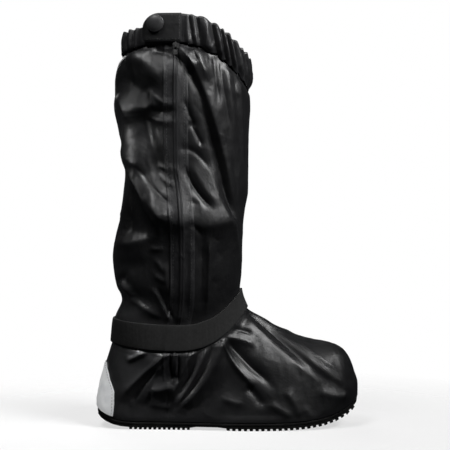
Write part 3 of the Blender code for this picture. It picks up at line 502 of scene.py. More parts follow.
def seam_gathers(seed):
    """Short upright creases hanging from the cuff's seam, clear of the zip."""
    rng = np.random.default_rng(seed)
    seam = smooth_upper(np.linspace(-math.pi, 0.0, SEAM_POINTS), np.full(SEAM_POINTS, float(CUFF_SEAM)))
    made = []
    for x in np.arange(seam[0, 0] + GATHER_START, seam[-1, 0], GATHER_STEP):
        x += rng.uniform(-GATHER_SHIFT, GATHER_SHIFT)
        top = np.interp(x, seam[:, 0], seam[:, 2]) + GATHER_ABOVE
        run = rng.uniform(*GATHER_RUN)
        width = rng.uniform(*GATHER_WIDTH)
        height = rng.choice(GATHER_SIGNS) * rng.uniform(*GATHER_HEIGHT) * GATHER_FOLD
        drift = rng.normal(*GATHER_DRIFT) * run
        if abs(x - RINGS[CUFF_SEAM].side_x) > ZIP_HALF:
            middle = (x + GATHER_BEND * drift, top - run / 2)
            made.append(Fold(x, top, *middle, x + drift, top - run, width, width, height, *GATHER_FADES))
    return made


WRINKLES = {side: random_wrinkles(WRINKLE_SEED + side) + seam_gathers(WRINKLE_SEED + side)
            for side in (NEAR, FAR)}


def zip_crest(points, turns, rows):
    """Height of the ridge along the zip, millimetres."""
    offset = points[..., 0] - ring_value("side_x", rows)
    run = np.where(offset < 0, ZIP_CREST_REAR, ZIP_CREST_FRONT)
    foot = smooth_step((rows - ZIP_CREST_FROM) / ZIP_CREST_FADES[0])
    head = smooth_step((ZIP_CREST_TO - rows) / ZIP_CREST_FADES[1])
    outer_side = smooth_step(-2.0 * np.sin(turns))
    return ZIP_CREST * np.exp(-np.abs(offset) / run) * outer_side * (foot * head)


def crumple(points):
    """Ridged noise from about -1 to 1, longer up the shaft than round it."""
    flat = (points / CRUMPLE_SIZE).reshape(-1, 3)
    raw = [noise.ridged_multi_fractal(Vector(spot), *CRUMPLE_NOISE) for spot in flat]
    return np.tanh(np.array(raw).reshape(points.shape[:-1]) - CRUMPLE_MEAN)


def seam_groove(points, rows):
    """Depth of the broken groove where the cloth is drawn in under the cuff, millimetres."""
    depth = np.zeros(rows.shape)
    near = np.abs(rows - CUFF_SEAM) < GROOVE_REACH * GROOVE_ROWS
    broken = [0.5 + noise.noise(Vector(spot) / GROOVE_NOISE) for spot in points[near]]
    profile = np.exp(-(((rows[near] - CUFF_SEAM) / GROOVE_ROWS) ** 2))
    depth[near] = GROOVE_DEPTH * np.clip(broken, GROOVE_LEAST, 1.0) * profile
    return depth


def crease_height(points, turns, rows):
    """Height of all creases at points of the smooth upper, millimetres."""
    total = np.zeros(points.shape[:-1])
    sides = {NEAR: SHAFT_FOLDS + FOOT_FOLDS, FAR: FAR_FOLDS}
    for side, folds in sides.items():
        facing = smooth_step(side * np.sin(turns) / FOLD_SIDE_FADE)
        add_folds(total, folds + WRINKLES[side], points, facing)
    total += zip_crest(points, turns, rows) + CRUMPLE_HEIGHT * crumple(points)
    clear_of_sole = smooth_step(rows / SOLE_FADE)
    clear_of_strap = smooth_step(STRAP_RATE * (np.abs(rows - STRAP_MIDDLE) - STRAP_CLEAR))
    clear_of_cuff = smooth_step(CUFF_RATE * (CUFF_SEAM - rows))
    return total * clear_of_sole * clear_of_strap * clear_of_cuff - seam_groove(points, rows)


def cloth(turns, rows):
    """Points of the creased outer face, millimetres."""
    turns, rows = np.broadcast_arrays(np.asarray(turns, float), np.asarray(rows, float))
    smooth = smooth_upper(turns, rows)
    return smooth + smooth_normals(turns, rows) * crease_height(smooth, turns, rows)[..., None]


def grid_normals(points, closed):
    """Outward normals of a grid of rows by columns whose columns run toe, outer side, heel."""
    if closed:
        around = np.roll(points, -1, axis=1) - np.roll(points, 1, axis=1)
    else:
        around = np.gradient(points, axis=1)
    return unit(np.cross(np.gradient(points, axis=0), around))


def zip_turn(offset):
    """Turn of the outer side where x runs some millimetres ahead of the zip's middle."""
    return -np.arccos(np.asarray(offset, float) / SIDE_SPREAD)


def column_turns():
    """Turns of the upper's columns: close together on the outer side, wider apart on the inner side."""
    edge = math.asin(ZIP_HALF / SIDE_SPREAD)
    quarter = math.pi / 2
    toe = np.linspace(0.0, quarter - edge, NEAR_COLUMNS[0], endpoint=False)
    middle = np.linspace(quarter - edge, quarter + edge, ZIP_COLUMNS, endpoint=False)
    heel = np.linspace(quarter + edge, math.pi, NEAR_COLUMNS[1], endpoint=False)
    far = np.linspace(math.pi, 2.0 * math.pi, FAR_COLUMNS, endpoint=False)
    return -np.concatenate([toe, middle, heel, far])


def row_list():
    """Rows of the upper, closer to a ring where the rings are far apart."""
    steps = [CUFF_ROWS if ring >= CUFF_SEAM else SHAFT_ROWS if ring > ROW["strap_low"] else FOOT_ROWS
             for ring in range(len(RINGS) - 1)]
    runs = [ring + np.arange(count) / count for ring, count in enumerate(steps)]
    return np.concatenate([*runs, [len(RINGS) - 1.0]])


def add_object(name, data):
    made = bpy.data.objects.new(name, data)
    bpy.context.scene.collection.objects.link(made)
    return made


def solid_object(name, points, faces, finish):
    """A smooth object from points and faces, with its faces turned outward."""
    mesh = bpy.data.meshes.new(name)
    mesh.from_pydata(points, [], faces)
    mesh.materials.append(finish)
    work = bmesh.new()
    work.from_mesh(mesh)
    bmesh.ops.recalc_face_normals(work, faces=work.faces)
    for face in work.faces:
        face.smooth = True
    work.to_mesh(mesh)
    work.free()
    return add_object(name, mesh)


def grid_object(name, grid, finishes, row_finish=None):
    """A smooth object from a grid of world points whose rows and columns both close on themselves."""
    rows, columns = grid.shape[:2]
    rr, cc = np.meshgrid(np.arange(rows), np.arange(columns), indexing="ij")
    start, next_start = rr * columns, (rr + 1) % rows * columns
    after = (cc + 1) % columns
    quads = np.stack([start + cc, next_start + cc, next_start + after, start + after], -1)
    mesh = bpy.data.meshes.new(name)
    mesh.from_pydata(grid.reshape(-1, 3).tolist(), [], quads.reshape(-1, 4).tolist())
    for finish in finishes:
        mesh.materials.append(finish)
    mesh.polygons.foreach_set("use_smooth", np.ones(len(mesh.polygons), bool))
    if row_finish is not None:
        mesh.polygons.foreach_set("material_index", row_finish[rr].reshape(-1).astype(np.int32))
    mesh.update()
    return add_object(name, mesh)


def place(piece, slot, *nodes):
    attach(piece, BODY)
    if nodes:
        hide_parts(*nodes)
    return piece


def wall_grid(outer, inner):
    """Outer and inner grids joined into one closed loop of rows."""
    return np.concatenate([outer, inner[::-1]], axis=0)


def lowest_near(heights, reach):
    """The lowest of a grid's heights within a number of rows and columns."""
    for axis in (0, 1):
        heights = np.minimum.reduce([np.roll(heights, shift, axis) for shift in range(-reach, reach + 1)])
    return heights


def build_upper(finishes):
    """The creased cloth and, inside it, a coarser lining that follows the lowest of the creases."""
    turns, rows = np.meshgrid(column_turns(), row_list())
    smooth = smooth_upper(turns, rows)
    out = smooth_normals(turns, rows)
    height = crease_height(smooth, turns, rows)
    few = np.r_[0:len(rows) - 1:LINING_STEP, len(rows) - 1]
    outer = smooth + out * height[..., None]
    inner = smooth + out * (lowest_near(height, LINING_STEP) - WALL)[..., None]
    grid = to_world(wall_grid(outer, inner[few]))
    kinds = np.array([0] * len(rows) + [1] * len(few))
    piece = grid_object("upper_cloth", grid, [finishes["nylon"], finishes["lining"]], kinds)
    return place(piece, "coated_nylon", "upper")


def build_strap(finishes):
    """A closed band round the ankle, crowned a little across its width."""
    ring = column_turns()
    beside = np.abs(SIDE_SPREAD * np.cos(ring)) - ZIP_HALF
    over_zip = smooth_step((STRAP_EASE - beside) / (2.0 * STRAP_EASE)) * (np.sin(ring) < 0)
    stand = STRAP_STAND + (TAPE_THICK + STRAP_OVER_ZIP) * over_zip
    across = np.linspace(-1.0, 1.0, STRAP_ROWS)[:, None]
    crown = STRAP_PUFF * (1.0 - across**4)
    turns, rows = np.meshgrid(ring, np.linspace(ROW["strap_low"], ROW["strap_high"], STRAP_ROWS))
    base = cloth(turns, rows)
    out = grid_normals(base, True)
    low = base + out * stand[None, :, None]
    high = base + out * (stand + STRAP_THICK + crown)[..., None]
    piece = grid_object("ankle_webbing", to_world(wall_grid(high, low)), [finishes["webbing"]])
    edge_softness(piece, STRAP_EDGE)
    return place(piece, "strap_webbing", "ankle_strap")


def edge_softness(piece, width):
    """Rounds a piece's sharp edges."""
    bevel = piece.modifiers.new("edges", "BEVEL")
    bevel.width = width * MM
    bevel.segments = BEVEL_SEGMENTS
    bevel.limit_method = "ANGLE"
    bevel.angle_limit = BEVEL_ANGLE


def patch_edge(row, inset=0.0):
    """Turn of the heel patch's edge on the inner side at a row, set back by some millimetres."""
    side_turns = np.linspace(math.pi / 2, math.pi, PATCH_SEARCH)
    edge_x = np.interp(row, *zip(*PATCH_ROWS)) - inset
    x = smooth_upper(side_turns, np.full(PATCH_SEARCH, row))[:, 0]
    return np.interp(-edge_x, -x, side_turns)


def build_heel_patch(finishes):
    levels = np.linspace(PATCH_ROWS[0].row, PATCH_ROWS[-1].row, PATCH_GRID[0])
    edges = [patch_edge(row) for row in levels]
    turns = np.array([np.linspace(-edge, edge - 2 * math.pi, PATCH_GRID[1]) for edge in edges])
    rows = np.repeat(levels[:, None], PATCH_GRID[1], axis=1)
    piece = closed_sheet("heel_film", turns, rows, PATCH_STAND, PATCH_THICK, finishes["film"])
    return place(piece, "reflective_film", "heel_patch")


def patch_outline(inset):
    """Turns and rows of a line inside the patch's edge: up its outer side, over its top, down the inner."""
    foot, head = PATCH_STITCH_ENDS
    rows = np.linspace(PATCH_ROWS[0].row + foot, PATCH_ROWS[-1].row - head, PATCH_GRID[0])
    edges = np.array([patch_edge(row, inset) for row in rows])
    top = np.linspace(-edges[-1], edges[-1] - 2 * math.pi, PATCH_TOP_POINTS)
    turns = np.concatenate([-edges, top, edges[::-1] - 2 * math.pi])
    return turns, np.concatenate([rows, np.full(PATCH_TOP_POINTS, rows[-1]), rows[::-1]])


def closed_sheet(name, turns, rows, stand, thick, finish, crown=0.0):
    """A sheet of its own outline on the cloth, closed by a rim all round."""
    base = cloth(turns, rows)
    out = grid_normals(base, False)
    low = base + out * np.broadcast_to(stand, turns.shape)[..., None]
    high = base + out * np.broadcast_to(stand + thick + crown, turns.shape)[..., None]
    return sheet_object(name, to_world(low), to_world(high), finish)


def sheet_object(name, low, high, finish):
    """A low and a high grid of world points joined into one closed sheet with soft edges."""
    size = low.shape[0] * low.shape[1]
    index = np.arange(size).reshape(low.shape[:2])
    quad = np.stack([index[:-1, :-1], index[1:, :-1], index[1:, 1:], index[:-1, 1:]], -1).reshape(-1, 4)
    rim = np.concatenate([index[0, :-1], index[:-1, -1], index[-1, :0:-1], index[:0:-1, 0]])
    after = np.roll(rim, -1)
    sides = np.stack([rim, after, after + size, rim + size], -1)
    faces = np.concatenate([quad[:, ::-1], quad + size, sides])
    points = np.concatenate([low.reshape(-1, 3), high.reshape(-1, 3)])
    made = solid_object(name, points.tolist(), faces.tolist(), finish)
    edge_softness(made, SHEET_EDGE)
    return made


def zip_rows(step):
    count = int((ZIP_HEAD - ZIP_FOOT) / step)
    return np.linspace(ZIP_FOOT, ZIP_HEAD, count + 1)


def tucked(stand, thick, rows):
    """Stand of a strip of the zip, which slips under the cloth at its foot."""
    return stand - (stand + thick) * (1.0 - smooth_step((rows - ZIP_FOOT) / ZIP_TUCK))


def build_zip_tapes(finishes):
    """Two tapes, the rear one with a puckered hem along its edge."""
    rows = zip_rows(TAPE_STEP)
    height = ring_value("side_z", rows)
    pucker = 1.0 - HEM_PUCKER_SHARE * (1.0 - np.cos(2.0 * math.pi * height / HEM_PUCKER))
    low_down = HEM_LEAST + (1.0 - HEM_LEAST) * np.exp(-(((height - HEM_Z) / HEM_RUN) ** 2))
    for name, node, first, last in (("tape_rear", "zip_tape_rear", -TAPE_INNER, -ZIP_HALF),
                                    ("tape_front", "zip_tape_front", ZIP_HALF, TAPE_INNER)):
        offsets = np.linspace(first, last, TAPE_COLUMNS)
        edge = ZIP_HALF - np.abs(offsets)
        bead = HEM_BEAD * np.exp(-(((edge - HEM_HALF) / HEM_HALF) ** 2)) * (pucker * low_down)[:, None]
        lift = bead * (last < 0) - TAPE_SINK * smooth_step(1.0 - edge / HEM_HALF)
        turns, grid_rows = np.meshgrid(zip_turn(offsets), rows)
        stand = tucked(TAPE_STAND, TAPE_THICK, grid_rows)
        piece = closed_sheet(name, turns, grid_rows, stand, TAPE_THICK, finishes["zip_cloth"], lift)
        place(piece, "zip_cloth", node)


def build_zip_chain(finishes):
    """Two rows of coil side by side with a slit between them, ribbed across."""
    rows = zip_rows(CHAIN_STEP)
    offsets = np.linspace(CHAIN_HALF, -CHAIN_HALF, CHAIN_COLUMNS)
    height = ring_value("side_z", rows)
    rib = 0.5 + 0.5 * np.cos(2 * math.pi * (height - height[0]) / COIL_PITCH)[:, None]
    off_middle = (np.abs(offsets) - COIL_MIDDLE) / COIL_HALF
    bead = np.sqrt(np.clip(1.0 - off_middle**2, 0.0, 1.0))
    lift = CHAIN_THICK * (bead * (1.0 - COIL_RIB + COIL_RIB * rib) - 1.0)
    turns, grid_rows = np.meshgrid(zip_turn(offsets), rows)
    stand = tucked(CHAIN_STAND, CHAIN_THICK, grid_rows)
    piece = closed_sheet("zip_coils", turns, grid_rows, stand, CHAIN_THICK, finishes["coil"], lift)
    place(piece, "zip_coil", "zip_chain")


def gather_lobes(turns, rise):
    """Puffed lobes of the cuff, 0 to about 1, between hollows that each have a place, lean and bow."""
    middle_row = CUFF_SEAM + 0.5
    ring = smooth_upper(turns, np.full(len(turns), middle_row))
    run = np.r_[0.0, np.cumsum(np.linalg.norm(np.diff(ring, axis=0), axis=-1))]
    length = run[-1] + np.linalg.norm(ring[0] - ring[-1])
    rng = np.random.default_rng(LOBE_SEED)
    shifts = rng.uniform(-LOBE_SHIFT, LOBE_SHIFT, LOBE_COUNT)
    middles = (np.arange(LOBE_COUNT) + shifts) * length / LOBE_COUNT
    middle_turns = np.interp(middles, run, turns)
    ahead = np.clip(np.cos(middle_turns), LOBE_LEAN_BACK, 1.0)
    leans = -LOBE_LEAN * ahead * np.sign(np.sin(middle_turns)) + rng.normal(0.0, LOBE_LEAN_SPREAD, LOBE_COUNT)
    bows = rng.normal(0.0, LOBE_BOW, LOBE_COUNT)
    heights = rng.uniform(*LOBE_HEIGHTS, LOBE_COUNT)
    lobes = np.empty((len(rise), len(turns)))
    for k, level in enumerate(rise):
        hollows = middles + leans * (level - 0.5) + bows * math.sin(math.pi * level)
        ends = np.r_[hollows, hollows[0] + length]
        where = np.where(run < ends[0], run + length, run)
        index = np.clip(np.searchsorted(ends, where, side="right") - 1, 0, LOBE_COUNT - 1)
        share = np.clip((where - ends[index]) / (ends[index + 1] - ends[index]), 0.0, 1.0)
        lobes[k] = heights[index] * np.sin(math.pi * share) ** LOBE_POWER
    return lobes


def tab_clear(turns):
    """0 under the snap tab, 1 where the cuff is gathered."""
    offset = SIDE_SPREAD * np.cos(turns)
    beyond = np.maximum(TAB_BACK - offset, offset - TAB_FRONT)
    clear = smooth_step((beyond - TAB_CLEAR) / TAB_CLEAR_RUN)
    return np.where(np.sin(turns) < 0, clear, 1.0)


def build_cuff(finishes):
    """The elastic casing: a belly between its seam and its edge, drawn into gathers but under the tab."""
    ring = -np.linspace(0.0, 2 * math.pi, CUFF_COLUMNS, endpoint=False)
    rise = np.linspace(0.0, 1.0, CUFF_POINTS)
    base = smooth_upper(*np.meshgrid(ring, CUFF_SEAM + CUFF_FOOT + CUFF_SPAN * rise))
    out = grid_normals(base, True)
    level = rise[:, None]
    belly = np.sin(math.pi * (CUFF_BELLY[0] + (CUFF_BELLY[1] - CUFF_BELLY[0]) * level)) ** BELLY_POWER
    clear = tab_clear(ring)
    gather = gather_lobes(ring, rise) * clear * (1.0 - LOBE_EASE * np.cos(ring) ** 2) * LOBE_DEPTH
    stand = CUFF_STAND * belly + gather * (LOBE_LEAST + (1.0 - LOBE_LEAST) * belly)
    stand = stand + CUFF_CRUMPLE * crumple(base * CUFF_GRAIN) * clear
    swell = CUFF_PINCH[0] + (CUFF_PINCH[1] - CUFF_PINCH[0]) * np.clip(np.cos(ring), 0.0, 1.0) ** 2
    pinch = PINCH_LEAST + (1.0 - PINCH_LEAST) * smooth_step(level / swell)
    outer = base + out * (CUFF_SKIN + np.maximum(stand, CUFF_LEAST) * pinch)[..., None]
    outer[..., 2] += gather * (CUFF_SCALLOP[0] * level**3 - CUFF_SCALLOP[1] * (1.0 - level) ** 3)
    few = np.r_[0:CUFF_POINTS - 1:CUFF_LINING_STEP, CUFF_POINTS - 1]
    inner = base[few] + out[few] * CUFF_INNER
    piece = grid_object("gathered_cuff", to_world(wall_grid(outer, inner)), [finishes["casing"]])
    return place(piece, "elastic_casing", "collar_cuff")


def tab_points(offsets, heights, stand):
    """World points and normals of an upright sheet on the tab's ring, at runs from the zip and heights."""
    turns = zip_turn(offsets)
    rows = np.full(turns.shape, TAB_ROW)
    out = unit(smooth_normals(turns, rows) * (1.0, 1.0, 0.0))
    points = smooth_upper(turns, rows) + out * np.broadcast_to(stand, turns.shape)[..., None]
    points[..., 2] = heights
    return to_world(points), out


def rounded_corner(distance, radius):
    """How far an outline's edge falls back at a distance from the end of its rounded corner."""
    short = np.clip(radius - distance, 0.0, radius)
    return radius - np.sqrt(radius**2 - short**2)


def build_tab(finishes):
    """Flap over the zip's top: round behind the snap, puffed a little between its stitched edges."""
    offsets = np.linspace(TAB_FRONT, TAB_BACK + TAB_TIP, TAB_GRID[1])
    top = TAB_HIGH - rounded_corner(offsets - TAB_BACK, TAB_CORNER)
    foot = TAB_LOW + rounded_corner(offsets - TAB_BACK, TAB_FOOT_CORNER)
    along = np.broadcast_to(offsets, TAB_GRID)
    heights = foot + (top - foot) * np.linspace(0.0, 1.0, TAB_GRID[0])[:, None]
    stand = TAB_STAND + tab_lean(heights)
    low, _ = tab_points(along, heights, stand)
    edge = np.minimum.reduce([heights - foot, top - heights, TAB_FRONT - along, along - TAB_BACK])
    puff = TAB_PUFF * smooth_step(edge / TAB_PUFF_RUN)
    high, _ = tab_points(along, heights, stand + TAB_THICK - TAB_PUFF + puff)
    piece = sheet_object("tab_flap", low, high, finishes["tab"])
    return place(piece, "elastic_casing", "snap_tab")


def tab_lean(heights):
    """How far the tab lies back from its stand, most at its foot, a little at its top."""
    foot = np.clip((SNAP_Z - heights) / (SNAP_Z - TAB_LOW), 0.0, 1.0)
    top = np.clip((heights - SNAP_Z) / (TAB_HIGH - SNAP_Z), 0.0, 1.0)
    return -TAB_LEAN * (foot + TAB_TOP_LEAN * top)


def tab_border():
    """World points and normals of the stitched line inside the tab's edge: foot, front and top."""
    foot, front, high = TAB_LOW + TAB_STITCH, TAB_FRONT - TAB_STITCH, TAB_HIGH - TAB_STITCH
    corners = [(TAB_BACK + TAB_FOOT_CORNER, foot), (front, foot), (front, high),
               (TAB_BACK + TAB_CORNER, high)]
    runs = [np.linspace(start, end, TAB_STITCH_POINTS) for start, end in zip(corners, corners[1:])]
    offsets, heights = np.concatenate(runs).T
    return tab_points(offsets, heights, TAB_STAND + tab_lean(heights) + TAB_THICK - TAB_STITCH_SINK)


def snap_frame():
    """Matrix with X along the tab, Y up and Z out of it at the snap."""
    spot, out = tab_points(np.array([SNAP_OFFSET]), SNAP_Z, TAB_STAND + TAB_THICK + SNAP_STAND)
    up = Vector((0.0, 0.0, 1.0))
    out = Vector(out[0])
    return Matrix.Translation(spot[0]) @ Matrix((up.cross(out), up, out)).transposed().to_4x4()


def build_snap_cap(finishes):
    """Domed cap with a rolled rim, turned about its middle."""
    angles = 2.0 * math.pi * np.arange(SNAP_SIDES) / SNAP_SIDES
    points, loops = [], []
    for radius, height in SNAP_PROFILE:
        reach, level = radius * SNAP_RADIUS * MM, height * SNAP_HEIGHT * MM
        loop_angles = angles if radius else angles[:1]
        loops.append(range(len(points), len(points) + len(loop_angles)))
        points += [(reach * math.cos(angle), reach * math.sin(angle), level) for angle in loop_angles]
    faces = []
    for low, high in zip(loops, loops[1:]):
        for k in range(SNAP_SIDES):
            corners = ((low, k), (low, k + 1), (high, k + 1), (high, k))
            faces.append(list(dict.fromkeys(loop[spot % len(loop)] for loop, spot in corners)))
    piece = solid_object("snap_dome", points, faces, finishes["paint"])
    piece.matrix_world = snap_frame()
    return place(piece, "snap_paint", "snap_cap")


def stitch_rings(points, out):
    """Rings of the threads laid end to end along world points on a face: stitches by sections by sides."""
    run = np.r_[0.0, np.cumsum(np.linalg.norm(np.diff(points, axis=0), axis=-1))]
    length, radius = STITCH_LENGTH * MM, STITCH_RADIUS * MM
    starts = np.arange(0.0, run[-1] - length, length + STITCH_GAP * MM)

    def along(values, distance):
        return np.stack([np.interp(distance, run, values[:, k]) for k in range(3)], -1)

    first, last = along(points, starts), along(points, starts + length)
    normal = unit(along(out, starts + length / 2))
    across = unit(np.cross(last - first, normal))
    lift = normal[:, None] * (radius * STITCH_LIFTS)[:, None]
    middle = first[:, None] + (last - first)[:, None] * STITCH_SHARES[:, None] + lift
    angle = 2.0 * math.pi * np.arange(STITCH_SIDES) / STITCH_SIDES
    spoke = across[:, None] * np.cos(angle)[:, None] + normal[:, None] * np.sin(angle)[:, None]
    return middle[:, :, None] + spoke[:, None] * (radius * STITCH_WIDTHS)[:, None, None]


def stitches(name, rows, finish, slot):
    """All the threads of some rows of (points, normals) as one joined mesh."""
    rings = np.concatenate([stitch_rings(points, out) for points, out in rows])
    count, sections, sides = rings.shape[:3]
    size = sections * sides
    k, j = np.meshgrid(np.arange(sections - 1) * sides, np.arange(sides), indexing="ij")
    after = (j + 1) % sides
    walls = np.stack([k + j, k + sides + j, k + sides + after, k + after], -1).reshape(-1, 4)
    ends = np.array([range(sides), range(size - 1, size - sides - 1, -1)])
    faces = []
    for first in range(0, count * size, size):
        faces += (walls + first).tolist() + (ends + first).tolist()
    return place(solid_object(name, rings.reshape(-1, 3).tolist(), faces, finish), slot)


def cloth_row(turns, rows, stand):
    """World points and normals of a line on the creased face."""
    turns, rows = np.broadcast_arrays(np.asarray(turns, float), np.asarray(rows, float))
    out = face_normals(cloth, turns, rows, CREASED_NORMAL_STEP)
    return to_world(cloth(turns, rows) + out * stand), out


def build_stitches(finishes):
    """Rows of thread along the zip's tapes, round the cuff's seam, and inside the edges of tab and patch."""
    thread = finishes["thread"]
    rows = zip_rows(ZIP_STITCH_STEP)
    rows = rows[rows > ROW["strap_high"] + ZIP_STITCH_CLEAR]
    tape_top = TAPE_STAND + TAPE_THICK
    zip_lines = [cloth_row(zip_turn(offset), rows, tape_top) for offset in (-ZIP_STITCH, ZIP_STITCH)]
    stitches("zip_stitches", zip_lines, thread, "zip_cloth")
    ring = -np.linspace(0.0, 2.0 * math.pi, SEAM_STITCH_POINTS)
    clear = np.abs(ring + math.pi / 2) > math.asin((ZIP_HALF + SEAM_STITCH_CLEAR) / SIDE_SPREAD)
    first = np.argmin(clear)
    last = first + np.argmax(clear[first:])
    seam = [cloth_row(turns, SEAM_STITCH_ROW, 0.0) for turns in (ring[:first], ring[last:])]
    stitches("seam_stitches", seam, thread, "coated_nylon")
    stitches("tab_stitches", [tab_border()], thread, "elastic_casing")
    border = cloth_row(*patch_outline(PATCH_STITCH), PATCH_STAND + PATCH_THICK)
    stitches("patch_stitches", [border], thread, "reflective_film")


class Finish:
    """A Principled material with short calls for its texture nodes."""

    def __init__(self, name, colour, roughness, metallic=0.0, specular=0.5):
        self.material = bpy.data.materials.new(name)
        self.material.use_nodes = True
        self.nodes = self.material.node_tree.nodes
        self.shader = self.nodes["Principled BSDF"]
        self.shader.inputs["Base Color"].default_value = (*colour, 1.0)
        self.shader.inputs["Roughness"].default_value = roughness
        self.shader.inputs["Metallic"].default_value = metallic
        self.shader.inputs["Specular IOR Level"].default_value = specular
        self.where = self.nodes.new("ShaderNodeTexCoord").outputs["Object"]

    def link(self, source, target):
        self.material.node_tree.links.new(source, target)

    def node(self, kind, output, inputs, **settings):
        """An output of a new node, whose inputs are given as numbers or as other nodes' outputs."""
        made = self.nodes.new("ShaderNode" + kind)
        for name, value in settings.items():
            setattr(made, name, value)
        for name, value in inputs.items():
            if isinstance(value, bpy.types.NodeSocket):
                self.link(value, made.inputs[name])
            else:
                made.inputs[name].default_value = value
        return made.outputs[output]

    def noise(self, size, detail=3.0):
        """Noise of a feature size in millimetres."""
        inputs = {"Vector": self.where, "Scale": 1.0 / (size * MM), "Detail": detail}
        return self.node("TexNoise", "Fac", inputs)

    def ribs(self, axis, pitch):
        """Bands across an axis, of a pitch in millimetres. A wave of scale 1 has one to every pi / 10."""
        inputs = {"Vector": self.where, "Scale": math.pi / (10.0 * pitch * MM)}
        return self.node("TexWave", "Fac", inputs, bands_direction=axis)

    def combine(self, operation, a, b):
        return self.node("Math", "Value", {0: a, 1: b}, operation=operation)

    def weave(self, axes, pitch):
        """The sum of the ribs across some axes."""
        total = self.ribs(axes[0], pitch)
        for axis in axes[1:]:
            total = self.combine("ADD", total, self.ribs(axis, pitch))
        return total

    def moved(self, value, span, low, high):
        """A value moved from one range to another."""
        ends = {"From Min": span[0], "From Max": span[1], "To Min": low, "To Max": high}
        return self.node("MapRange", "Result", {"Value": value, **ends})

    def tint(self, value, dark, light):
        ramp = self.node("ValToRGB", "Color", {"Fac": value})
        for stop, position, colour in zip(ramp.node.color_ramp.elements, TINT_RANGE, (dark, light)):
            stop.position = position
            stop.color = (*colour, 1.0)
        self.link(ramp, self.shader.inputs["Base Color"])

    def rough(self, value, low, high):
        self.link(self.moved(value, ROUGH_RANGE, low, high), self.shader.inputs["Roughness"])

    def bump(self, *layers):
        """Layers of (height, depth in millimetres), each on the one before."""
        below = {}
        for height, depth in layers:
            inputs = {"Height": height, "Distance": depth * MM, "Strength": 1.0, **below}
            normal = self.node("Bump", "Normal", inputs)
            below = {"Normal": normal}
        self.link(normal, self.shader.inputs["Normal"])


def nylon_finish():
    """Black coated nylon: close plain weave under a soft satin coat, crumpled a little."""
    made = Finish("coated_nylon_look", (0.006, 0.006, 0.0065), 0.47, specular=0.45)
    made.tint(made.noise(24.0), (0.005, 0.005, 0.0055), (0.0075, 0.0075, 0.008))
    made.rough(made.noise(9.0), 0.37, 0.46)
    made.bump((made.noise(9.0), 0.28), (made.noise(2.2, 2.0), 0.05), (made.weave("XYZ", 0.7), 0.012))
    return made.material


def lining_finish():
    made = Finish("lining_look", (0.012, 0.012, 0.013), 0.7)
    made.tint(made.noise(18.0), (0.009, 0.009, 0.010), (0.016, 0.016, 0.017))
    made.bump((made.noise(6.0), 0.4), (made.weave("XZ", 0.9), 0.03))
    return made.material


def casing_finish():
    made = Finish("elastic_casing_look", (0.011, 0.011, 0.012), 0.42)
    made.tint(made.noise(14.0), (0.008, 0.008, 0.009), (0.0145, 0.0145, 0.0155))
    made.rough(made.noise(6.0), 0.37, 0.5)
    made.bump((made.noise(4.5), 0.35), (made.weave("XYZ", 0.7), 0.012))
    return made.material


def shaded_tab_finish():
    """The collar's cloth, doubled, in a darker colour than the casing's: the darkening is painted shade."""
    # Base colour and tints darker than the casing's cloth: painted shade on the tab
    made = Finish("painted_shade_tab_look", (0.006, 0.006, 0.0065), 0.55, specular=0.35)
    made.tint(made.noise(9.0), (0.005, 0.005, 0.0055), (0.0075, 0.0075, 0.008))
    made.rough(made.noise(5.0), 0.5, 0.62)
    made.bump((made.noise(5.0), 0.3), (made.weave("XZ", 0.7), 0.015))
    return made.material


def webbing_finish():
    """Matt woven strap: ribs across its width."""
    made = Finish("strap_webbing_look", (0.017, 0.017, 0.017), 0.85, specular=0.25)
    made.tint(made.noise(3.0), (0.014, 0.014, 0.014), (0.019, 0.019, 0.019))
    cells = made.combine("MULTIPLY", made.ribs("Z", 1.1), made.ribs("X", 1.6))
    made.bump((made.combine("ADD", cells, made.ribs("Y", 1.6)), 0.06), (made.noise(1.2), 0.06))
    return made.material


def film_finish():
    """Grey reflective film with a fine bead texture."""
    made = Finish("reflective_film_look", (0.62, 0.63, 0.63), 0.5)
    made.tint(made.noise(16.0, 4.0), (0.54, 0.55, 0.56), (0.68, 0.69, 0.69))
    made.rough(made.noise(5.0), 0.42, 0.58)
    made.bump((made.noise(0.7, 2.0), 0.05), (made.noise(9.0), 0.35))
    return made.material


def zip_cloth_finish():
    made = Finish("zip_cloth_look", (0.009, 0.009, 0.010), 0.5)
    made.tint(made.noise(10.0), (0.0075, 0.0075, 0.0085), (0.012, 0.012, 0.013))
    made.rough(made.noise(5.0), 0.44, 0.56)
    made.bump((made.noise(5.0), 0.4), (made.weave("ZX", 0.9), 0.03))
    return made.material


def thread_finish():
    """Dark sewing thread, twisted."""
    made = Finish("thread_look", (0.03, 0.03, 0.031), 0.5)
    made.tint(made.noise(3.0), (0.024, 0.024, 0.025), (0.038, 0.038, 0.039))
    made.bump((made.noise(0.5), 0.04))
    return made.material


def coil_finish():
    made = Finish("zip_coil_look", (0.008, 0.008, 0.009), 0.6, specular=0.3)
    made.rough(made.noise(3.0), 0.52, 0.66)
    made.bump((made.noise(1.0), 0.05))
    return made.material


def metal_finish():
    """Black plated zinc, worn bright in places."""
    made = Finish("zip_metal_look", (0.02, 0.02, 0.02), 0.4, metallic=0.4)
    made.tint(made.noise(2.4, 4.0), (0.008, 0.008, 0.008), (0.04, 0.04, 0.04))
    made.rough(made.noise(1.5), 0.28, 0.45)
    made.bump((made.noise(0.6), 0.03))
    return made.material


def paint_finish():
    made = Finish("snap_paint_look", (0.022, 0.022, 0.023), 0.42)
    made.tint(made.noise(5.0), (0.020, 0.020, 0.021), (0.027, 0.027, 0.028))
    made.rough(made.noise(2.5), 0.38, 0.5)
    made.bump((made.noise(1.0), 0.03))
    return made.material


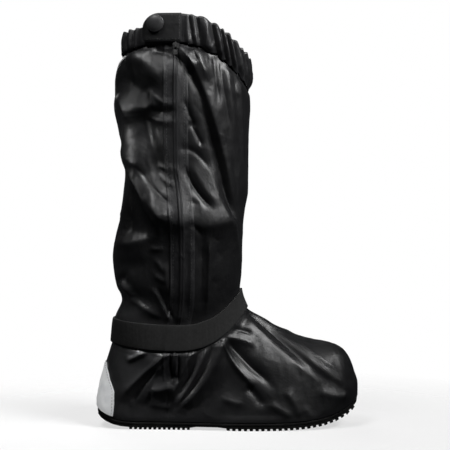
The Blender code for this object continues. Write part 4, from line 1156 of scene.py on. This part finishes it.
def rubber_finish():
    """Matt black rubber, dusty in places."""
    made = Finish("sole_rubber_look", (0.006, 0.006, 0.006), 0.8, specular=0.12)
    made.tint(made.noise(12.0, 5.0), (0.004, 0.004, 0.004), (0.009, 0.009, 0.0087))
    made.rough(made.noise(4.0), 0.65, 0.85)
    made.bump((made.noise(1.4), 0.12), (made.noise(7.0), 0.3))
    return made.material


def make_finishes():
    return {"nylon": nylon_finish(), "lining": lining_finish(), "casing": casing_finish(),
            "tab": shaded_tab_finish(), "webbing": webbing_finish(), "film": film_finish(),
            "zip_cloth": zip_cloth_finish(), "coil": coil_finish(), "metal": metal_finish(),
            "paint": paint_finish(), "rubber": rubber_finish(), "thread": thread_finish()}


def dress_node(name, finish, softness):
    """A CAD piece kept as it is, with rounded edges and its own finish."""
    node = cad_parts[name]
    node.data.materials.clear()
    node.data.materials.append(finish)
    edge_softness(node, softness)


def build_floor():
    """A pale disc that fades into the background round the boot."""
    mesh = bpy.data.meshes.new("studio_floor")
    work = bmesh.new()
    bmesh.ops.create_circle(work, cap_ends=True, segments=FLOOR_SIDES, radius=FLOOR_RADIUS)
    work.to_mesh(mesh)
    work.free()
    made = Finish("floor_look", (0.3, 0.3, 0.3), 0.9, specular=0.0)
    made.tint(made.noise(300.0), (0.29, 0.29, 0.29), (0.31, 0.31, 0.31))
    made.shader.inputs["Emission Color"].default_value = WHITE
    made.shader.inputs["Emission Strength"].default_value = FLOOR_GLOW
    distance = made.node("VectorMath", "Value", {0: made.where}, operation="LENGTH")
    made.link(made.moved(distance, FLOOR_FADE, 1.0, 0.0), made.shader.inputs["Alpha"])
    mesh.materials.append(made.material)
    floor = add_object("studio_floor", mesh)
    floor.visible_diffuse = False
    floor.visible_glossy = False


def area_light(lamp):
    data = bpy.data.lights.new(lamp.name, "AREA")
    data.shape = "RECTANGLE"
    data.size = data.size_y = lamp.side
    data.energy = lamp.power
    data.spread = math.radians(lamp.spread)
    light = add_object(lamp.name, data)
    light.location = lamp.at
    light.rotation_euler = (Vector(lamp.aim) - Vector(lamp.at)).to_track_quat("-Z", "Y").to_euler()
    return light


def build_lights(film, cloth_piece):
    """All the lamps: the heel lamp lights only the reflective film, the foot lamp only the upper's cloth."""
    only_on = {"heel": film, "foot": cloth_piece}
    for lamp in LAMPS:
        light = area_light(lamp)
        if lamp.name in only_on:
            lit = bpy.data.collections.new("lit_by_%s_light" % lamp.name)
            lit.objects.link(only_on[lamp.name])
            light.light_linking.receiver_collection = lit


def build_world():
    """A background that is white to the camera and dim as a light."""
    world = bpy.data.worlds.new("studio")
    bpy.context.scene.world = world
    world.use_nodes = True
    nodes, links = world.node_tree.nodes, world.node_tree.links
    dim = nodes["Background"]
    dim.inputs["Color"].default_value = WORLD_COLOUR
    dim.inputs["Strength"].default_value = WORLD_STRENGTH
    bright = nodes.new("ShaderNodeBackground")
    bright.inputs["Color"].default_value = WHITE
    bright.inputs["Strength"].default_value = 1.0
    mix = nodes.new("ShaderNodeMixShader")
    path = nodes.new("ShaderNodeLightPath")
    links.new(path.outputs["Is Camera Ray"], mix.inputs["Fac"])
    links.new(dim.outputs["Background"], mix.inputs[1])
    links.new(bright.outputs["Background"], mix.inputs[2])
    links.new(mix.outputs["Shader"], nodes["World Output"].inputs["Surface"])
    bpy.context.scene.view_settings.view_transform = "Standard"


def build_camera():
    data = bpy.data.cameras.new("camera")
    data.lens, data.sensor_width = LENS, SENSOR
    data.clip_start, data.clip_end = CAMERA_CLIP
    camera = add_object("camera", data)
    camera.location = (CAMERA_X, -DRAWN_MIDDLE_Y * MM - CAMERA_DISTANCE, CAMERA_Z)
    camera.rotation_euler = (math.pi / 2, 0.0, 0.0)
    bpy.context.scene.camera = camera


def main():
    finishes = make_finishes()
    cloth_piece = build_upper(finishes)
    build_strap(finishes)
    film = build_heel_patch(finishes)
    build_zip_tapes(finishes)
    build_zip_chain(finishes)
    build_cuff(finishes)
    build_tab(finishes)
    build_snap_cap(finishes)
    build_stitches(finishes)
    dress_node("outsole", finishes["rubber"], SOLE_EDGE)
    dress_node("zip_slider", finishes["metal"], SLIDER_EDGE)
    dress_node("zip_pull", finishes["metal"], PULL_EDGE)
    build_floor()
    build_lights(film, cloth_piece)
    build_world()
    build_camera()


main()
